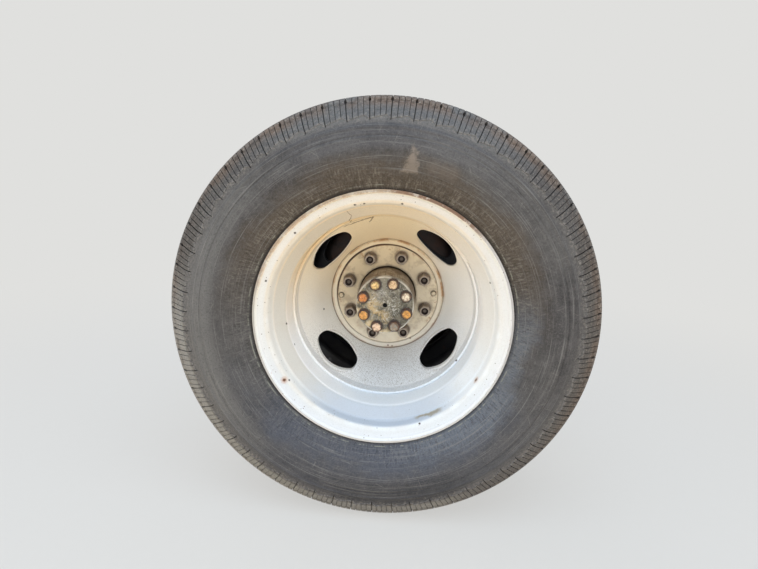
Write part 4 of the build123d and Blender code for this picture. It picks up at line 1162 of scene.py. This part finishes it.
def seen(tree):
    """1 for rays from the camera, a gloss or a clear body."""
    path = add_node(tree, "ShaderNodeLightPath")
    total = path.outputs["Is Camera Ray"]
    for name in ("Is Glossy Ray", "Is Transmission Ray"):
        total = add_node(tree, "ShaderNodeMath", total, path.outputs[name], operation="MAXIMUM").outputs[0]
    return total


BACKDROP = linear(224, 224, 222)
WORLD_LIGHT = 0.36
# Light of the surroundings by height: place on the ramp, colour
WORLD_RAMP = ((0.0, (1.0, 0.95, 0.88, 1)), (0.7, (0.72, 0.82, 1.0, 1)))


def world():
    """Cool light from above and pale surroundings."""
    made = bpy.data.worlds.new("studio")
    made.use_nodes = True
    tree = made.node_tree
    place = add_node(tree, "ShaderNodeTexCoord").outputs["Generated"]
    height = add_node(tree, "ShaderNodeSeparateXYZ", place).outputs[2]
    ramp = add_node(tree, "ShaderNodeValToRGB", height)
    for stop, (position, colour) in zip(ramp.color_ramp.elements, WORLD_RAMP):
        stop.position = position
        stop.color = colour
    light = tree.nodes["Background"]
    put_in(tree, light.inputs["Color"], ramp.outputs[0])
    light.inputs["Strength"].default_value = WORLD_LIGHT
    shown = add_node(tree, "ShaderNodeBackground", BACKDROP)
    mix = add_node(tree, "ShaderNodeMixShader", seen(tree), light.outputs[0], shown.outputs[0])
    put_in(tree, tree.nodes["World Output"].inputs[0], mix.outputs[0])
    bpy.context.scene.world = made


FLOOR_REACH = 14


def floor():
    """Wide pale floor that fades into the surroundings; warm where it lights the wheel."""
    mesh = bpy.data.meshes.new("floor")
    corners = [(-1, -1), (1, -1), (1, 1), (-1, 1)]
    mesh.from_pydata([(FLOOR_REACH * x, FLOOR_REACH * y, FLOOR_Z) for x, y in corners], [], [(0, 1, 2, 3)])
    made = new_object("floor", mesh)
    paint = Paint("pale_floor", specular=0.2)
    shown = Value(paint, seen(paint.tree))
    fine = paint.noise(60, 4, 0.6)
    plain = paint.mix((238, 235, 230), (242, 240, 236), fine)
    bounce = paint.mix((226, 202, 164), (230, 206, 168), fine)
    paint.base(bounce, plain, shown)
    paint.done(roughness=0.8)
    glow = paint.add("ShaderNodeEmission", BACKDROP)
    behind = paint.y + 0.6
    reach = paint.math("SQRT", paint.x * paint.x + behind * behind)
    fade = (rise(reach, 0.5, 2.2) * 0.3 + 0.7) * shown
    mix = paint.add("ShaderNodeMixShader", fade, paint.shader.outputs[0], glow.outputs[0])
    paint.put(paint.tree.nodes["Material Output"].inputs[0], mix.outputs[0])
    made.data.materials.append(paint.material)


def lamp(name, place, target, size, power, colour):
    """A soft rectangular lamp."""
    data = bpy.data.lights.new(name, "AREA")
    data.shape = "RECTANGLE"
    data.size, data.size_y = size
    data.energy = power
    data.color = colour
    made = new_object(name, data)
    made.location = place
    made.rotation_mode = "QUATERNION"
    made.rotation_quaternion = (Vector(target) - Vector(place)).to_track_quat("-Z", "Y")


camera()
world()
floor()
lamp("front", (0.1, -3.3, 0.55), (0.0, -0.7, 0.0), (2.6, 1.8), 15, (0.98, 0.99, 1.0))
lamp("left", (-2.9, -2.05, 0.5), (0.0, -0.7, 0.0), (2.0, 2.0), 36, (1.0, 0.99, 0.98))
lamp("right", (2.9, -2.05, 0.5), (0.0, -0.7, 0.0), (2.0, 2.0), 34, (1.0, 0.99, 0.98))
lamp("sky", (0.2, -2.1, 2.6), (0.0, -0.7, 0.0), (3.2, 2.0), 45, (0.64, 0.83, 1.0))
lamp("ground", (0.0, -2.5, -0.34), (0.0, -0.7, 0.15), (3.0, 0.5), 14, (1.0, 0.96, 0.89))
lamp("back", (-0.8, 2.6, 1.1), (0.0, -0.3, 0.0), (2.8, 1.8), 42, (1.0, 0.99, 0.98))

for tyre, middle_y, rubber, seed in (("outer_tyre", OUTER_TYRE_Y, tyre_rubber(True), 3),
                                     ("inner_tyre", INNER_TYRE_Y, tyre_rubber(False), 5)):
    dress(tyre_carcass(f"{tyre}_carcass", middle_y), "wheel", "tyre", rubber, tyre)
    dress(tyre_tread(f"{tyre}_tread", middle_y, seed), "wheel", "tyre", rubber, tyre)

fastener = nut_steel()
dress(lug_nuts(), "wheel", "nut_steel", fastener, "lug_nuts")
dress(wheel_studs(), "wheel", "stud_steel", fastener, "wheel_studs")
dress(flange_bolts(), "wheel", "bolt_steel", bolt_steel(), "flange_bolts")
dress(locating_pins(), "wheel", "wheel_paint", pin_paint(), "locating_pins")

for names, material in (
    (("outer_rim", "outer_disc"), wheel_paint()),
    (("inner_rim", "inner_disc"), inner_paint()),
    (("hub",), hub_iron()),
    (("brake_drum",), iron("drum_iron", (78, 66, 60), (48, 42, 40), (96, 62, 44), 0.5)),
    (("axle_shaft",), shaft_steel()),
    (("outer_valve_stem", "inner_valve_stem", "inspection_plugs"), rubber_plain()),
    (("axle_tube", "spindle", "backing_plate", "spring_seat", "shock_bracket"), axle_paint()),
    (("wheel_cylinder",), iron("cylinder_iron", (120, 112, 104), (86, 80, 76), (110, 76, 54), 0.4)),
    (("plate_bolts",), iron("plate_bolt_steel", (138, 130, 118), (96, 90, 84), (132, 90, 56), 0.5)),
):
    for name in names:
        paint_node(name, material)

bpy.context.scene.view_settings.view_transform = "Standard"
